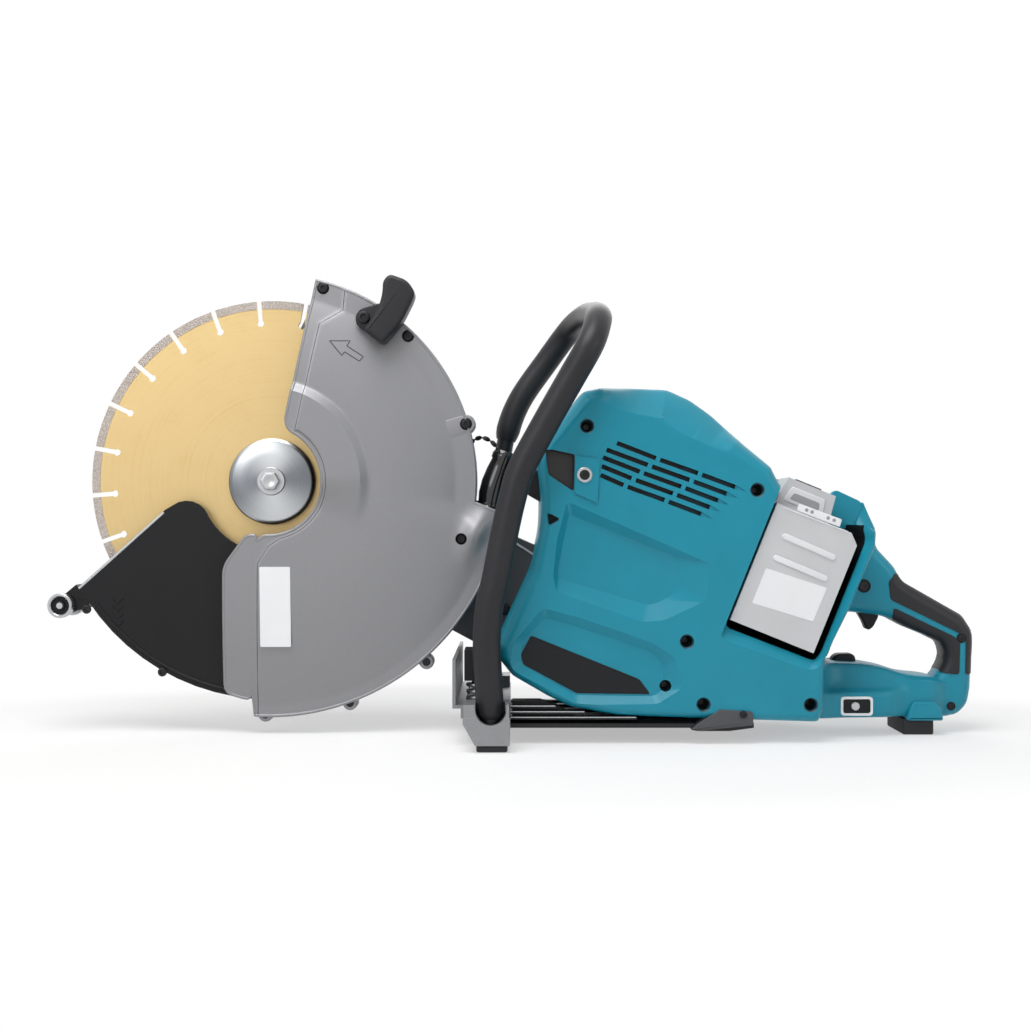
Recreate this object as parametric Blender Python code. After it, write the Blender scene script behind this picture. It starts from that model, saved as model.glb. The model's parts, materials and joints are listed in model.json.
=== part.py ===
"""Battery rescue saw with a 355 mm disc: every solid piece, modelled in metres with +Z up.

The drawing frame is centred on the disc: x runs back towards the rear handle, y runs away from
the viewer's side, z is up. Sizes are millimetres, and add() turns them into metres.
"""

import math

import bmesh
import bpy
from mathutils import Matrix, Vector

MM = 0.001

# Where the disc axis stands in the part's frame
DISC_AXIS_HEIGHT = 245.0
DISC_AXIS_AHEAD = 235.0

# Fits between pieces
GAP = 0.3
RUNNING_FIT = 0.4
BOSS_FIT = 0.8

# Cutting disc and its clamp
DISC_RADIUS = 177.5
DISC_THICKNESS = 3.0
DISC_BORE = 12.7
SLOT_COUNT = 24
SLOT_WIDTH = 4.4
SLOT_ROOT_AT = 156.0
SLOT_ROOT_RADIUS = 3.6
SLOT_FIRST_ANGLE = 4.4
FLANGE_RADIUS = 42.4
FLANGE_DEPTH = 8.0
FLANGE_EDGE = 4.5
BOLT_HEAD_RADIUS = 9.5
BOLT_HEAD_HEIGHT = 7.0
BOLT_WASHER_RADIUS = 13.8
BOLT_WASHER_DEPTH = 2.4
BOLT_SHANK_RADIUS = 4.8
BOLT_REACH = 30.0

# Spindle, bearings and belt drive
SPINDLE_RADIUS = 10.0
SPINDLE_COLLAR_RADIUS = 16.0
SPINDLE_COLLAR_DEPTH = 2.4
BEARING_RADIUS = 22.0
BEARING_DEPTH = 10.0
BEARING_SPACING = 16.0
DRIVEN_PULLEY_RADIUS = 30.0
DRIVE_PULLEY_RADIUS = 26.0
PULLEY_WIDTH = 18.0
PULLEY_LIP = 1.6
PULLEY_LIP_HEIGHT = 3.0
BELT_THICKNESS = 3.2
BELT_SIDE_PLAY = 1.0
PULLEY_AT = 52.0

# Motor
MOTOR_X = 305.0
MOTOR_Z = -150.0
MOTOR_SHAFT_RADIUS = 7.0
ROTOR_RADIUS = 28.0
ROTOR_LENGTH = 50.0
AIR_GAP = 0.8
STATOR_RADIUS = 52.0
STATOR_LENGTH = 58.0
STATOR_MIDDLE = -13.0
FAN_RADIUS = 46.0
FAN_HUB_RADIUS = 16.0
FAN_BLADES = 9
FAN_DEPTH = 9.0
FAN_AT = -55.0
MOTOR_BEARING_RADIUS = 14.0
MOTOR_BEARING_DEPTH = 8.0
MOTOR_BEARING_AT = -69.0

# Arm that carries the spindle, on the far side of the disc
ARM_NEAR = 26.0
ARM_FAR = 66.0
ARM_FLOOR = 14.0
ARM_WALL = 4.0
ARM_NOSE_RADIUS = 48.0
ARM_TAIL_RADIUS = 60.0
ARM_BOSS_RADIUS = 37.5
ARM_BOSS_NEAR = 13.0
ARM_COVER_DEPTH = 4.0

# Guard round the disc
GUARD_UPPER_RADIUS = 201.0
GUARD_LOWER_RADIUS = 229.0
GUARD_WALL = 3.0
GUARD_INSIDE = 18.0
GUARD_FLANGE = 22.0
GUARD_DOME_RADIUS = 168.0
GUARD_DOME_RISE = 6.0
GUARD_HUB_RADIUS = 96.0
GUARD_HUB_RISE = 5.0
GUARD_SLOPE = 9.0
GUARD_MOUTH_RADIUS = 52.0
GUARD_SEAM_ANGLE = -5.8
NOZZLE_LENGTH = 56.0
NOZZLE_BASE_RADIUS = 12.5
NOZZLE_TIP_RADIUS = 10.0
LEDGE_LENGTH = 27.0
NOZZLE_CLEAR = 2.0
NOZZLE_WALL = 2.5

# Front cover that draws back into the guard, and its roller
COVER_RADIUS = 213.0
COVER_INSIDE_RADIUS = 70.0
COVER_WALL = 3.0
COVER_HALF_WIDTH = 14.0
COVER_TAIL_ANGLE = 287.0
ROLLER_X = -203.0
ROLLER_Z = -121.0
ROLLER_RADIUS = 12.0
ROLLER_WIDTH = 9.0
ROLLER_AXLE_RADIUS = 3.0
COVER_LUG_RADIUS = 9.0

# Motor body. The seam is where the bay and the rear handle start, and their places follow it
BODY_HALF_WIDTH = 82.0
BODY_WALL = 3.5
BODY_SHOULDER = 27.0
BODY_EDGE = 18.0
BODY_SEAM = 432.0
BODY_BOTTOM = -220.0

# Front hoop handle, its yoke and dampers
HOOP_TUBE_RADIUS = 9.0
HOOP_GRIP_RADIUS = 12.7
YOKE_HALF_WIDTH = 131.0
YOKE_FRONT = 192.0
YOKE_BACK = 234.0
YOKE_TOP = -214.0
YOKE_BOTTOM = -239.0
YOKE_POST_TOP = -200.0
HOOP_NEAR = 19.0 - YOKE_HALF_WIDTH
HOOP_FAR = YOKE_HALF_WIDTH - 26.0
SPRING_X = 208.0
SPRING_Y = YOKE_HALF_WIDTH - 56.0
SPRING_RADIUS = 15.0
SPRING_WIRE = 2.0
SPRING_TURNS = 4
SPRING_PITCH = 6.0
SEAT_HEIGHT_NEAR = 28.0
SEAT_HEIGHT_FAR = 12.0

# Base plate under the body
BASE_BACK = BODY_SEAM - 22.0
BASE_HALF_WIDTH = 80.0
BASE_TOP = -226.5
BASE_THICKNESS = 4.0
BASE_RIB_HEIGHT = 3.0
BASE_RIB_WIDTH = 8.0
BASE_RIBS = 5

# Rear housing, bay and batteries
BAY_HALF_WIDTH = 80.0
WING_HALF_WIDTH = 78.0
WING_HEIGHT = 125.0
HOUSING_HALF_WIDTH = 45.0
HOUSING_BOTTOM = -228.0
HOUSING_END = BODY_SEAM + 169.0
SPINE_HALF = 5.0
PACK_WIDTH = 83.5
PACK_HEIGHT = 117.0
PACK_DEPTH = 72.0
PACK_CORNER_X = BODY_SEAM + 6.5
PACK_CORNER_Z = -130.3
PACK_LEAN = 22.0
PACK_PLAY = 1.2
PACK_HEAD_HEIGHT = 29.0
PACK_HEAD_WIDTH = 58.0
PACK_HEAD_DEPTH = 44.0
LATCH_DEPTH = 5.0
LATCH_WIDTH = 26.0
LATCH_HEIGHT = 14.0
LATCH_TRAVEL = 2.0

# Rear handle and its controls
HANDLE_HALF_WIDTH = 19.0
GRIP_THICKNESS = 5.0
TRIGGER_X = BODY_SEAM + 145.0
TRIGGER_Z = -121.0
TRIGGER_HALF_WIDTH = 6.5
TRIGGER_PIN_RADIUS = 2.0
LOCK_LENGTH = 24.0
LOCK_X = BODY_SEAM + 129.0
LOCK_HALF_WIDTH = 8.5
LOCK_HEIGHT = 16.0
LOCK_STANDS = 5.5
LOCK_TRAVEL = 3.0
PANEL_X = BODY_SEAM + 132.0
PANEL_Z = -215.0
PANEL_LENGTH = 28.0
PANEL_HEIGHT = 15.4
PANEL_DEPTH = 1.6
BUTTON_RADIUS = 3.8
BUTTON_STANDS = 1.6
BUTTON_DEPTH = 6.0
BUTTON_TRAVEL = 1.2

# Facets on round pieces
ROUND = 32
SMALL_ROUND = 20

# Places that several pieces share
FLOOR = -DISC_AXIS_HEIGHT
DISC_HALF = DISC_THICKNESS / 2
FLANGE_FACE = DISC_HALF + GAP + FLANGE_DEPTH
MOTOR = (MOTOR_X, MOTOR_Z)
LEAN = math.radians(PACK_LEAN)
PACK_UP = (math.sin(LEAN), math.cos(LEAN))
PACK_BACK = (math.cos(LEAN), -math.sin(LEAN))
PULLEY_NEAR = PULLEY_AT - PULLEY_WIDTH / 2
PULLEY_FAR = PULLEY_AT + PULLEY_WIDTH / 2


for leftover in list(bpy.data.objects):
    bpy.data.objects.remove(leftover, do_unlink=True)


# Materials

def material(name, colour, roughness, metallic=0.0):
    """A plain finish, with its colour as three linear values."""
    made = bpy.data.materials.new(name)
    made.use_nodes = True
    shader = made.node_tree.nodes["Principled BSDF"]
    shader.inputs["Base Color"].default_value = (*colour, 1.0)
    shader.inputs["Roughness"].default_value = roughness
    shader.inputs["Metallic"].default_value = metallic
    return made


TEAL = material("teal_plastic", (0.006, 0.155, 0.21), 0.42)
BLACK = material("black_plastic", (0.012, 0.012, 0.013), 0.5)
RUBBER = material("black_rubber", (0.022, 0.022, 0.024), 0.7)
SILVER = material("silver_paint", (0.36, 0.36, 0.37), 0.42, 0.6)
CAST = material("cast_grey", (0.11, 0.11, 0.115), 0.55, 0.7)
STEEL = material("bright_steel", (0.55, 0.55, 0.56), 0.3, 1.0)
GOLD = material("gold_core", (0.42, 0.29, 0.12), 0.45, 0.6)
PALE = material("pale_plastic", (0.5, 0.51, 0.52), 0.5)
COPPER = material("winding", (0.4, 0.16, 0.07), 0.4, 0.8)
DARK_STEEL = material("dark_steel", (0.05, 0.05, 0.055), 0.45, 0.8)


# Drawing helpers

def circle(radius, count=ROUND, centre=(0.0, 0.0)):
    turns = [2 * math.pi * i / count for i in range(count)]
    return [(centre[0] + radius * math.cos(a), centre[1] + radius * math.sin(a)) for a in turns]


def arc(radius, start, end, count, centre=(0.0, 0.0)):
    """Points on an arc between two angles in degrees, both ends included."""
    angles = [math.radians(start + (end - start) * i / count) for i in range(count + 1)]
    return [(centre[0] + radius * math.cos(a), centre[1] + radius * math.sin(a)) for a in angles]


def belt_line(radius_a, centre_a, radius_b, centre_b, count=20):
    """The outline that a band takes round two circles."""
    across = centre_b[0] - centre_a[0]
    up = centre_b[1] - centre_a[1]
    heading = math.degrees(math.atan2(up, across))
    lean = math.degrees(math.acos((radius_a - radius_b) / math.hypot(across, up)))
    nose = arc(radius_a, heading + lean, heading + 360 - lean, count, centre_a)
    tail = arc(radius_b, heading - lean, heading + lean, count, centre_b)
    return nose + tail


def inset(outline, distance):
    """The outline drawn in by a distance, its corners kept as corners."""
    count = len(outline)
    area = sum(
        outline[i][0] * outline[(i + 1) % count][1] - outline[(i + 1) % count][0] * outline[i][1]
        for i in range(count)
    )
    side = 1.0 if area > 0 else -1.0
    drawn = []
    for i in range(count):
        here = Vector(outline[i])
        into = (here - Vector(outline[i - 1])).normalized()
        out = (Vector(outline[(i + 1) % count]) - here).normalized()
        normal = Vector((-into.y - out.y, into.x + out.x)).normalized() * side
        spread = max(0.45, normal.dot(Vector((-into.y, into.x)) * side))
        moved = here + normal * (distance / spread)
        drawn.append((moved.x, moved.y))
    return drawn


def beside(path, distance):
    """An open line moved sideways by a distance, to its right."""
    moved = []
    for i, point in enumerate(path):
        here = Vector(point)
        into = here - Vector(path[i - 1]) if i > 0 else Vector(path[1]) - here
        out = Vector(path[i + 1]) - here if i + 1 < len(path) else into
        way = (into.normalized() + out.normalized()).normalized()
        spread = way.dot(out.normalized())
        shifted = here + Vector((way.y, -way.x)) * (distance / spread)
        moved.append((shifted.x, shifted.y))
    return moved


def behind(back, z):
    """A point measured back from the body's seam."""
    return (BODY_SEAM + back, z)


def in_bay(back, up):
    """A point of the bay, measured back and up along the leaning packs."""
    x = PACK_CORNER_X + back * PACK_BACK[0] + up * PACK_UP[0]
    z = PACK_CORNER_Z + back * PACK_BACK[1] + up * PACK_UP[1]
    return (x, z)


def smooth_path(points, steps):
    """A smooth curve through the points, with a few steps between each two."""
    ends = [points[0] * 2 - points[1], *points, points[-1] * 2 - points[-2]]
    curve = []
    for a, b, c, d in zip(ends, ends[1:], ends[2:], ends[3:]):
        for i in range(steps):
            t = i / steps
            linear = (c - a) * t
            square = (a * 2 - b * 5 + c * 4 - d) * t * t
            cube = (b * 3 - a - c * 3 + d) * t * t * t
            curve.append((b * 2 + linear + square + cube) * 0.5)
    return [*curve, points[-1]]


# Mesh helpers, all in millimetres

def closed(bm):
    bmesh.ops.recalc_face_normals(bm, faces=bm.faces)
    return bm


def loft(rings):
    """A solid through rings of equal count, with flat ends."""
    bm = bmesh.new()
    rows = [[bm.verts.new(point) for point in ring] for ring in rings]
    for low, high in zip(rows, rows[1:]):
        for i in range(len(low)):
            bm.faces.new((low[i - 1], low[i], high[i], high[i - 1]))
    bm.faces.new(rows[0])
    bm.faces.new(list(reversed(rows[-1])))
    return closed(bm)


def prism(outline, near, far):
    """An outline in x and z, extruded along y."""
    return loft([[(x, y, z) for x, z in outline] for y in (near, far)])


def prism_along_x(outline, front, back):
    """An outline in y and z, extruded along x."""
    return loft([[(x, y, z) for y, z in outline] for x in (front, back)])


def stepped(layers):
    """A solid through (outline, y) layers that share one count of points."""
    return loft([[(x, y, z) for x, z in outline] for outline, y in layers])


def block(low, high):
    outline = [(low[0], low[2]), (high[0], low[2]), (high[0], high[2]), (low[0], high[2])]
    return prism(outline, low[1], high[1])


def turned(profile, centre=(0.0, 0.0), count=ROUND):
    """A closed (radius, y) profile turned about an axis along y."""
    bm = bmesh.new()
    rows = []
    for radius, y in profile:
        if radius > 0:
            rows.append([bm.verts.new((x, y, z)) for x, z in circle(radius, count, centre)])
        else:
            rows.append([bm.verts.new((centre[0], y, centre[1]))] * count)
    for row, following in zip(rows, [*rows[1:], rows[0]]):
        for i in range(count):
            corners = list(dict.fromkeys((row[i - 1], row[i], following[i], following[i - 1])))
            if len(corners) > 2:
                bm.faces.new(corners)
    return closed(bm)


def ring(inner, outer, near, far, centre=(0.0, 0.0), count=ROUND):
    return turned([(inner, near), (outer, near), (outer, far), (inner, far)], centre, count)


def rod(radius, near, far, centre=(0.0, 0.0), count=SMALL_ROUND):
    return prism(circle(radius, count, centre), near, far)


def tube_rings(path, radii, sides):
    """Rings square to a path, each turned as little as it can be from the last."""
    rings = []
    side = None
    for i, point in enumerate(path):
        ahead = path[min(i + 1, len(path) - 1)] - path[max(i - 1, 0)]
        ahead.normalize()
        guess = side if side is not None else ahead.orthogonal()
        side = (guess - ahead * guess.dot(ahead)).normalized()
        up = ahead.cross(side)
        turns = [2 * math.pi * k / sides for k in range(sides)]
        rings.append([point + (side * math.cos(a) + up * math.sin(a)) * radii[i] for a in turns])
    return rings


def tube(path, radius, sides=16):
    return loft(tube_rings(path, [radius] * len(path), sides))


def sleeve(path, outer, inner, sides=16):
    """A tube with a bore, open at both ends. Its radii are lists, one value for each point."""
    bm = bmesh.new()
    skins = []
    for radii in (outer, inner):
        rings = tube_rings(path, radii, sides)
        skins.append([[bm.verts.new(point) for point in row] for row in rings])
    for rows in skins:
        for low, high in zip(rows, rows[1:]):
            for i in range(sides):
                bm.faces.new((low[i - 1], low[i], high[i], high[i - 1]))
    for end in (0, -1):
        for i in range(sides):
            out_row, in_row = skins[0][end], skins[1][end]
            bm.faces.new((out_row[i - 1], out_row[i], in_row[i], in_row[i - 1]))
    return closed(bm)


# Objects

def empty(name, place, parent=None):
    made = bpy.data.objects.new(name, None)
    made.location = Vector(place) * MM
    made.parent = parent
    bpy.context.collection.objects.link(made)
    return made


DATUM = empty("disc_centre", (-DISC_AXIS_AHEAD, 0.0, DISC_AXIS_HEIGHT))


def add(name, bm, finish, pivot=(0.0, 0.0, 0.0)):
    """An object from a mesh in millimetres, with its origin at the pivot."""
    bmesh.ops.translate(bm, verts=bm.verts, vec=-Vector(pivot))
    bmesh.ops.transform(bm, matrix=Matrix.Scale(MM, 4), verts=bm.verts)
    mesh = bpy.data.meshes.new(name)
    bm.to_mesh(mesh)
    bm.free()
    mesh.materials.append(finish)
    mesh.shade_smooth()
    mesh.set_sharp_from_angle(angle=math.radians(30))
    made = bpy.data.objects.new(name, mesh)
    made.location = Vector(pivot) * MM
    made.parent = DATUM
    bpy.context.collection.objects.link(made)
    return made


def shape(target, bm, operation="DIFFERENCE"):
    """Cuts a mesh from an object, joins it or keeps what they share."""
    helper = add(f"{target.name}_{operation.lower()}_{len(target.modifiers)}", bm, BLACK)
    helper.hide_render = True
    helper.display_type = "WIRE"
    step = target.modifiers.new(helper.name, "BOOLEAN")
    step.operation = operation
    step.object = helper
    return target


# Cutting disc and its clamp

def keyhole_outline():
    """The rim of the disc, with a keyhole slot between each two segments."""
    outline = []
    pitch = 360.0 / SLOT_COUNT
    mouth = math.degrees(math.asin(SLOT_WIDTH / 2 / DISC_RADIUS))
    neck = math.degrees(math.asin(SLOT_WIDTH / 2 / SLOT_ROOT_RADIUS))
    for i in range(SLOT_COUNT):
        angle = SLOT_FIRST_ANGLE + pitch * i
        root = arc(SLOT_ROOT_AT, angle, angle, 1)[0]
        outline += arc(SLOT_ROOT_RADIUS, angle - neck, angle + neck - 360, 5, root)
        outline += arc(DISC_RADIUS, angle + mouth, angle + pitch - mouth, 3)
    return outline


def flange(near, far, bore):
    """A clamping flange whose outer edge is thinner than its middle."""
    edge = near + math.copysign(FLANGE_EDGE, far - near)
    shoulder = FLANGE_RADIUS - FLANGE_EDGE
    return turned([(bore, near), (FLANGE_RADIUS, near), (FLANGE_RADIUS, edge), (shoulder, far), (bore, far)])


NOSE_RADIUS = DISC_BORE - RUNNING_FIT
BOLT_BORE = BOLT_SHANK_RADIUS + RUNNING_FIT
FLANGE_NEAR = DISC_HALF + GAP
COLLAR_NEAR = FLANGE_FACE + GAP
COLLAR_FAR = COLLAR_NEAR + SPINDLE_COLLAR_DEPTH
BEARING_FIRST = COLLAR_FAR + GAP
BEARING_SECOND = BEARING_FIRST + BEARING_SPACING

cutting_disc = add("cutting_disc", prism(keyhole_outline(), -DISC_HALF, DISC_HALF), GOLD)
shape(cutting_disc, rod(DISC_BORE, -DISC_THICKNESS, DISC_THICKNESS, count=ROUND))
add("outer_flange", flange(-FLANGE_NEAR, -FLANGE_FACE, BOLT_BORE), STEEL)
add("inner_flange", flange(FLANGE_NEAR, FLANGE_FACE, DISC_BORE), STEEL)

spindle = add(
    "spindle",
    turned([
        (BOLT_BORE, -DISC_HALF + GAP),
        (NOSE_RADIUS, -DISC_HALF + GAP),
        (NOSE_RADIUS, COLLAR_NEAR),
        (SPINDLE_COLLAR_RADIUS, COLLAR_NEAR),
        (SPINDLE_COLLAR_RADIUS, COLLAR_FAR),
        (SPINDLE_RADIUS, COLLAR_FAR),
        (SPINDLE_RADIUS, PULLEY_FAR),
        (0.0, PULLEY_FAR),
        (0.0, BOLT_REACH + GAP),
        (BOLT_BORE, BOLT_REACH + GAP),
    ]),
    STEEL,
)

WASHER_BACK = -FLANGE_FACE - GAP
HEAD_BACK = WASHER_BACK - BOLT_WASHER_DEPTH
HEAD_FACE = HEAD_BACK - BOLT_HEAD_HEIGHT
flange_bolt = add(
    "flange_bolt",
    turned([
        (0.0, HEAD_BACK),
        (BOLT_WASHER_RADIUS, HEAD_BACK),
        (BOLT_WASHER_RADIUS, WASHER_BACK),
        (BOLT_SHANK_RADIUS, WASHER_BACK),
        (BOLT_SHANK_RADIUS, BOLT_REACH),
        (0.0, BOLT_REACH),
    ], count=SMALL_ROUND),
    STEEL,
)
shape(flange_bolt, rod(BOLT_HEAD_RADIUS, HEAD_FACE, HEAD_BACK + GAP, count=6), "UNION")


# Belt drive

def pulley(radius, bore, centre):
    lip = radius + PULLEY_LIP_HEIGHT
    return turned([
        (bore, PULLEY_NEAR),
        (lip, PULLEY_NEAR),
        (lip, PULLEY_NEAR + PULLEY_LIP),
        (radius, PULLEY_NEAR + PULLEY_LIP),
        (radius, PULLEY_FAR - PULLEY_LIP),
        (lip, PULLEY_FAR - PULLEY_LIP),
        (lip, PULLEY_FAR),
        (bore, PULLEY_FAR),
    ], centre)


MOTOR_AXIS = (MOTOR_X, 0.0, MOTOR_Z)
add("driven_pulley", pulley(DRIVEN_PULLEY_RADIUS, SPINDLE_RADIUS + GAP, (0.0, 0.0)), DARK_STEEL)
add("drive_pulley", pulley(DRIVE_PULLEY_RADIUS, MOTOR_SHAFT_RADIUS + GAP, MOTOR), DARK_STEEL, MOTOR_AXIS)

belt_near = PULLEY_NEAR + PULLEY_LIP + BELT_SIDE_PLAY
belt_far = PULLEY_FAR - PULLEY_LIP - BELT_SIDE_PLAY


def belt_loop(lift):
    return belt_line(DRIVEN_PULLEY_RADIUS + lift, (0.0, 0.0), DRIVE_PULLEY_RADIUS + lift, MOTOR)


drive_belt = add("drive_belt", prism(belt_loop(RUNNING_FIT + BELT_THICKNESS), belt_near, belt_far), RUBBER)
shape(drive_belt, prism(belt_loop(RUNNING_FIT), belt_near - 1, belt_far + 1))

for name, first in (("near", BEARING_FIRST), ("far", BEARING_SECOND)):
    bearing = ring(SPINDLE_RADIUS + RUNNING_FIT, BEARING_RADIUS, first, first + BEARING_DEPTH)
    add(f"spindle_bearing_{name}", bearing, STEEL)


# Motor

rotor_near = STATOR_MIDDLE - ROTOR_LENGTH / 2
rotor_far = STATOR_MIDDLE + ROTOR_LENGTH / 2
stator_near = STATOR_MIDDLE - STATOR_LENGTH / 2
stator_far = STATOR_MIDDLE + STATOR_LENGTH / 2
motor_bearing_near = MOTOR_BEARING_AT - MOTOR_BEARING_DEPTH / 2
motor_bearing_bore = MOTOR_SHAFT_RADIUS + RUNNING_FIT
arm_bearing_near = ARM_NEAR + 2
shaft_bore = MOTOR_SHAFT_RADIUS + GAP


def fan_outline():
    """A hub with straight blades, each a wedge of the turn."""
    outline = []
    step = 360.0 / FAN_BLADES
    for i in range(FAN_BLADES):
        outline += arc(FAN_HUB_RADIUS, step * i, step * (i + 0.6), 2, MOTOR)
        outline += arc(FAN_RADIUS, step * (i + 0.7), step * (i + 0.85), 1, MOTOR)
    return outline


add("motor_shaft", rod(MOTOR_SHAFT_RADIUS, motor_bearing_near, PULLEY_FAR, MOTOR), STEEL, MOTOR_AXIS)
add("rotor_core", ring(shaft_bore, ROTOR_RADIUS, rotor_near, rotor_far, MOTOR), DARK_STEEL, MOTOR_AXIS)
fan_front = FAN_AT - FAN_DEPTH / 2
fan_back = FAN_AT + FAN_DEPTH / 2
cooling_fan = add("cooling_fan", prism(fan_outline(), fan_front, fan_back), BLACK, MOTOR_AXIS)
shape(cooling_fan, rod(shaft_bore, fan_front - 1, fan_back + 1, MOTOR))
add("stator", ring(ROTOR_RADIUS + AIR_GAP, STATOR_RADIUS, stator_near, stator_far, MOTOR), COPPER)
near_bearing = ring(
    motor_bearing_bore, MOTOR_BEARING_RADIUS, motor_bearing_near,
    motor_bearing_near + MOTOR_BEARING_DEPTH, MOTOR, SMALL_ROUND,
)
add("motor_bearing_near", near_bearing, STEEL)
far_bearing = ring(
    motor_bearing_bore, MOTOR_BEARING_RADIUS, arm_bearing_near,
    arm_bearing_near + MOTOR_BEARING_DEPTH, MOTOR, SMALL_ROUND,
)
add("motor_bearing_far", far_bearing, STEEL)


# Arm

def arm_line(drawn_in=0.0):
    nose = ARM_NOSE_RADIUS - drawn_in
    return belt_line(nose, (0.0, 0.0), ARM_TAIL_RADIUS - drawn_in, MOTOR)


arm_housing = add("arm_housing", prism(arm_line(), ARM_NEAR, ARM_FAR), CAST)
shape(arm_housing, rod(ARM_BOSS_RADIUS, ARM_BOSS_NEAR, ARM_NEAR + 1, count=ROUND), "UNION")
motor_cup = ring(STATOR_RADIUS + GAP, STATOR_RADIUS + ARM_WALL, stator_far - ARM_WALL, ARM_NEAR + 1, MOTOR)
shape(arm_housing, motor_cup, "UNION")
shape(arm_housing, prism(arm_line(ARM_WALL), ARM_NEAR + ARM_FLOOR, ARM_FAR + 1))
shape(arm_housing, rod(BEARING_RADIUS + GAP, ARM_BOSS_NEAR - 1, ARM_FAR, count=ROUND))
shape(arm_housing, rod(MOTOR_BEARING_RADIUS + GAP, ARM_NEAR - 1, ARM_FAR, MOTOR))
add("arm_cover", prism(arm_line(), ARM_FAR + GAP, ARM_FAR + GAP + ARM_COVER_DEPTH), CAST)


# Guard

STEP_IN = arc(GUARD_UPPER_RADIUS, GUARD_SEAM_ANGLE, GUARD_SEAM_ANGLE, 1)[0]
STEP_DROP = math.radians(-16.2)


def step_point(out):
    """A point on the slanted ledge where the guard widens for the dust outlet."""
    return (STEP_IN[0] + out * math.cos(STEP_DROP), STEP_IN[1] + out * math.sin(STEP_DROP))


STEP_OUT = step_point(LEDGE_LENGTH)
LOWER_START = math.degrees(math.atan2(STEP_OUT[1], STEP_OUT[0])) - 0.8
MOUTH_TOP = (46.0, 199.0)
MOUTH_HUB_TOP = 73.0
MOUTH_HUB_BOTTOM = -94.0
MOUTH_LOW = [(-16.5, -50.5), (-23.3, -54.4), (-43.6, -82.5), (-43.6, -206.0), (-16.5, -214.0)]
LOWER_END = -93.7
MOUTH_ANGLE = math.degrees(math.atan2(MOUTH_TOP[1], MOUTH_TOP[0]))


def guard_rim(drawn_in=0.0):
    """The rim from the mouth's top, down the back and round to the mouth's bottom."""
    upper = arc(GUARD_UPPER_RADIUS - drawn_in, MOUTH_ANGLE, GUARD_SEAM_ANGLE - drawn_in * 0.3, 18)
    lower = arc(GUARD_LOWER_RADIUS - drawn_in, LOWER_START - drawn_in * 0.3, LOWER_END, 20)
    return upper + lower


def guard_outline(hub):
    """The whole side plate. The near one has a mouth round the flange, the far one a hole."""
    mouth = MOUTH_LOW[::-1] + hub
    return [*guard_rim(), *mouth]


NEAR_HUB = arc(GUARD_MOUTH_RADIUS, MOUTH_HUB_BOTTOM, MOUTH_HUB_TOP, 16)
FAR_HUB = [(-GUARD_MOUTH_RADIUS, -40.0), (-GUARD_MOUTH_RADIUS, 40.0), (8.0, 120.0)]
OPEN_FRONT = [(-16.5, -260.0), (-90.0, -260.0), (-90.0, 230.0), (40.0, 230.0)]


def guard_pocket(near, far):
    """The space inside the rim, open towards the front."""
    return prism([*guard_rim(GUARD_WALL), *OPEN_FRONT], near, far)


def guard_dish():
    """The near wall: a flat flange, a dome and a raised ring round the hub."""
    flange_y = -GUARD_FLANGE
    dome_y = flange_y - GUARD_DOME_RISE
    hub_y = dome_y - GUARD_HUB_RISE
    reach = GUARD_LOWER_RADIUS + 20
    outside = [
        (0.0, hub_y),
        (GUARD_HUB_RADIUS - GUARD_SLOPE, hub_y),
        (GUARD_HUB_RADIUS, dome_y),
        (GUARD_DOME_RADIUS - GUARD_SLOPE, dome_y),
        (GUARD_DOME_RADIUS, flange_y),
        (reach, flange_y),
    ]
    wall = GUARD_FLANGE - GUARD_INSIDE
    inside = [(radius, y + wall) for radius, y in reversed(outside)]
    return turned(outside + inside, count=72)


outer_half = add("guard_outer_half", guard_dish(), SILVER)
near_plate = guard_outline(NEAR_HUB)
shape(outer_half, prism(near_plate, -GUARD_FLANGE * 3, 0.0), "INTERSECT")
near_rim = add("near_rim", prism(near_plate, -GUARD_INSIDE - GAP, -GAP / 2), SILVER)
shape(near_rim, guard_pocket(-GUARD_FLANGE, GUARD_WALL))
near_rim.hide_render = True
near_rim.display_type = "WIRE"
join_rim = outer_half.modifiers.new("join_rim", "BOOLEAN")
join_rim.operation = "UNION"
join_rim.object = near_rim

inner_half = add("guard_inner_half", prism(guard_outline(FAR_HUB), GAP / 2, GUARD_FLANGE), SILVER)
shape(inner_half, guard_pocket(-GUARD_WALL, GUARD_INSIDE))
shape(inner_half, rod(ARM_BOSS_RADIUS + BOSS_FIT, 0.0, GUARD_FLANGE + 1, count=48))

LEVER = [
    (119.0, 197.0), (136.0, 191.0), (143.4, 179.5), (141.0, 171.5), (130.0, 149.5), (114.0, 132.0),
    (109.5, 132.0), (97.0, 141.5), (95.3, 144.8), (108.0, 163.7), (112.0, 178.0), (112.6, 190.5),
]
LEVER_EAR = [
    (86.0, 150.0), (84.5, 158.0), (89.0, 165.0), (96.0, 167.5), (111.5, 172.0), (118.0, 150.0),
    (100.0, 142.0), (92.0, 145.5),
]
LEVER_SCREW = (93.0, 157.0)
LEVER_FACE = -48.0
EAR_FACE = -33.0
LEVER_BACK = -GUARD_FLANGE - GAP
LEVER_SHRINK = 4.0
SCREW_RADIUS = 3.0
SCREW_HEAD_RADIUS = 6.0
SCREW_HEAD_HEIGHT = 3.0
SCREW_REACH = 8.0
lever_shoulder = LEVER_FACE + LEVER_SHRINK
lever_layers = [(LEVER, LEVER_BACK), (LEVER, lever_shoulder), (inset(LEVER, LEVER_SHRINK), LEVER_FACE)]
guard_lever = add("guard_lever", stepped(lever_layers), RUBBER)
shape(guard_lever, prism(LEVER_EAR, EAR_FACE, LEVER_BACK - GAP), "UNION")
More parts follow.
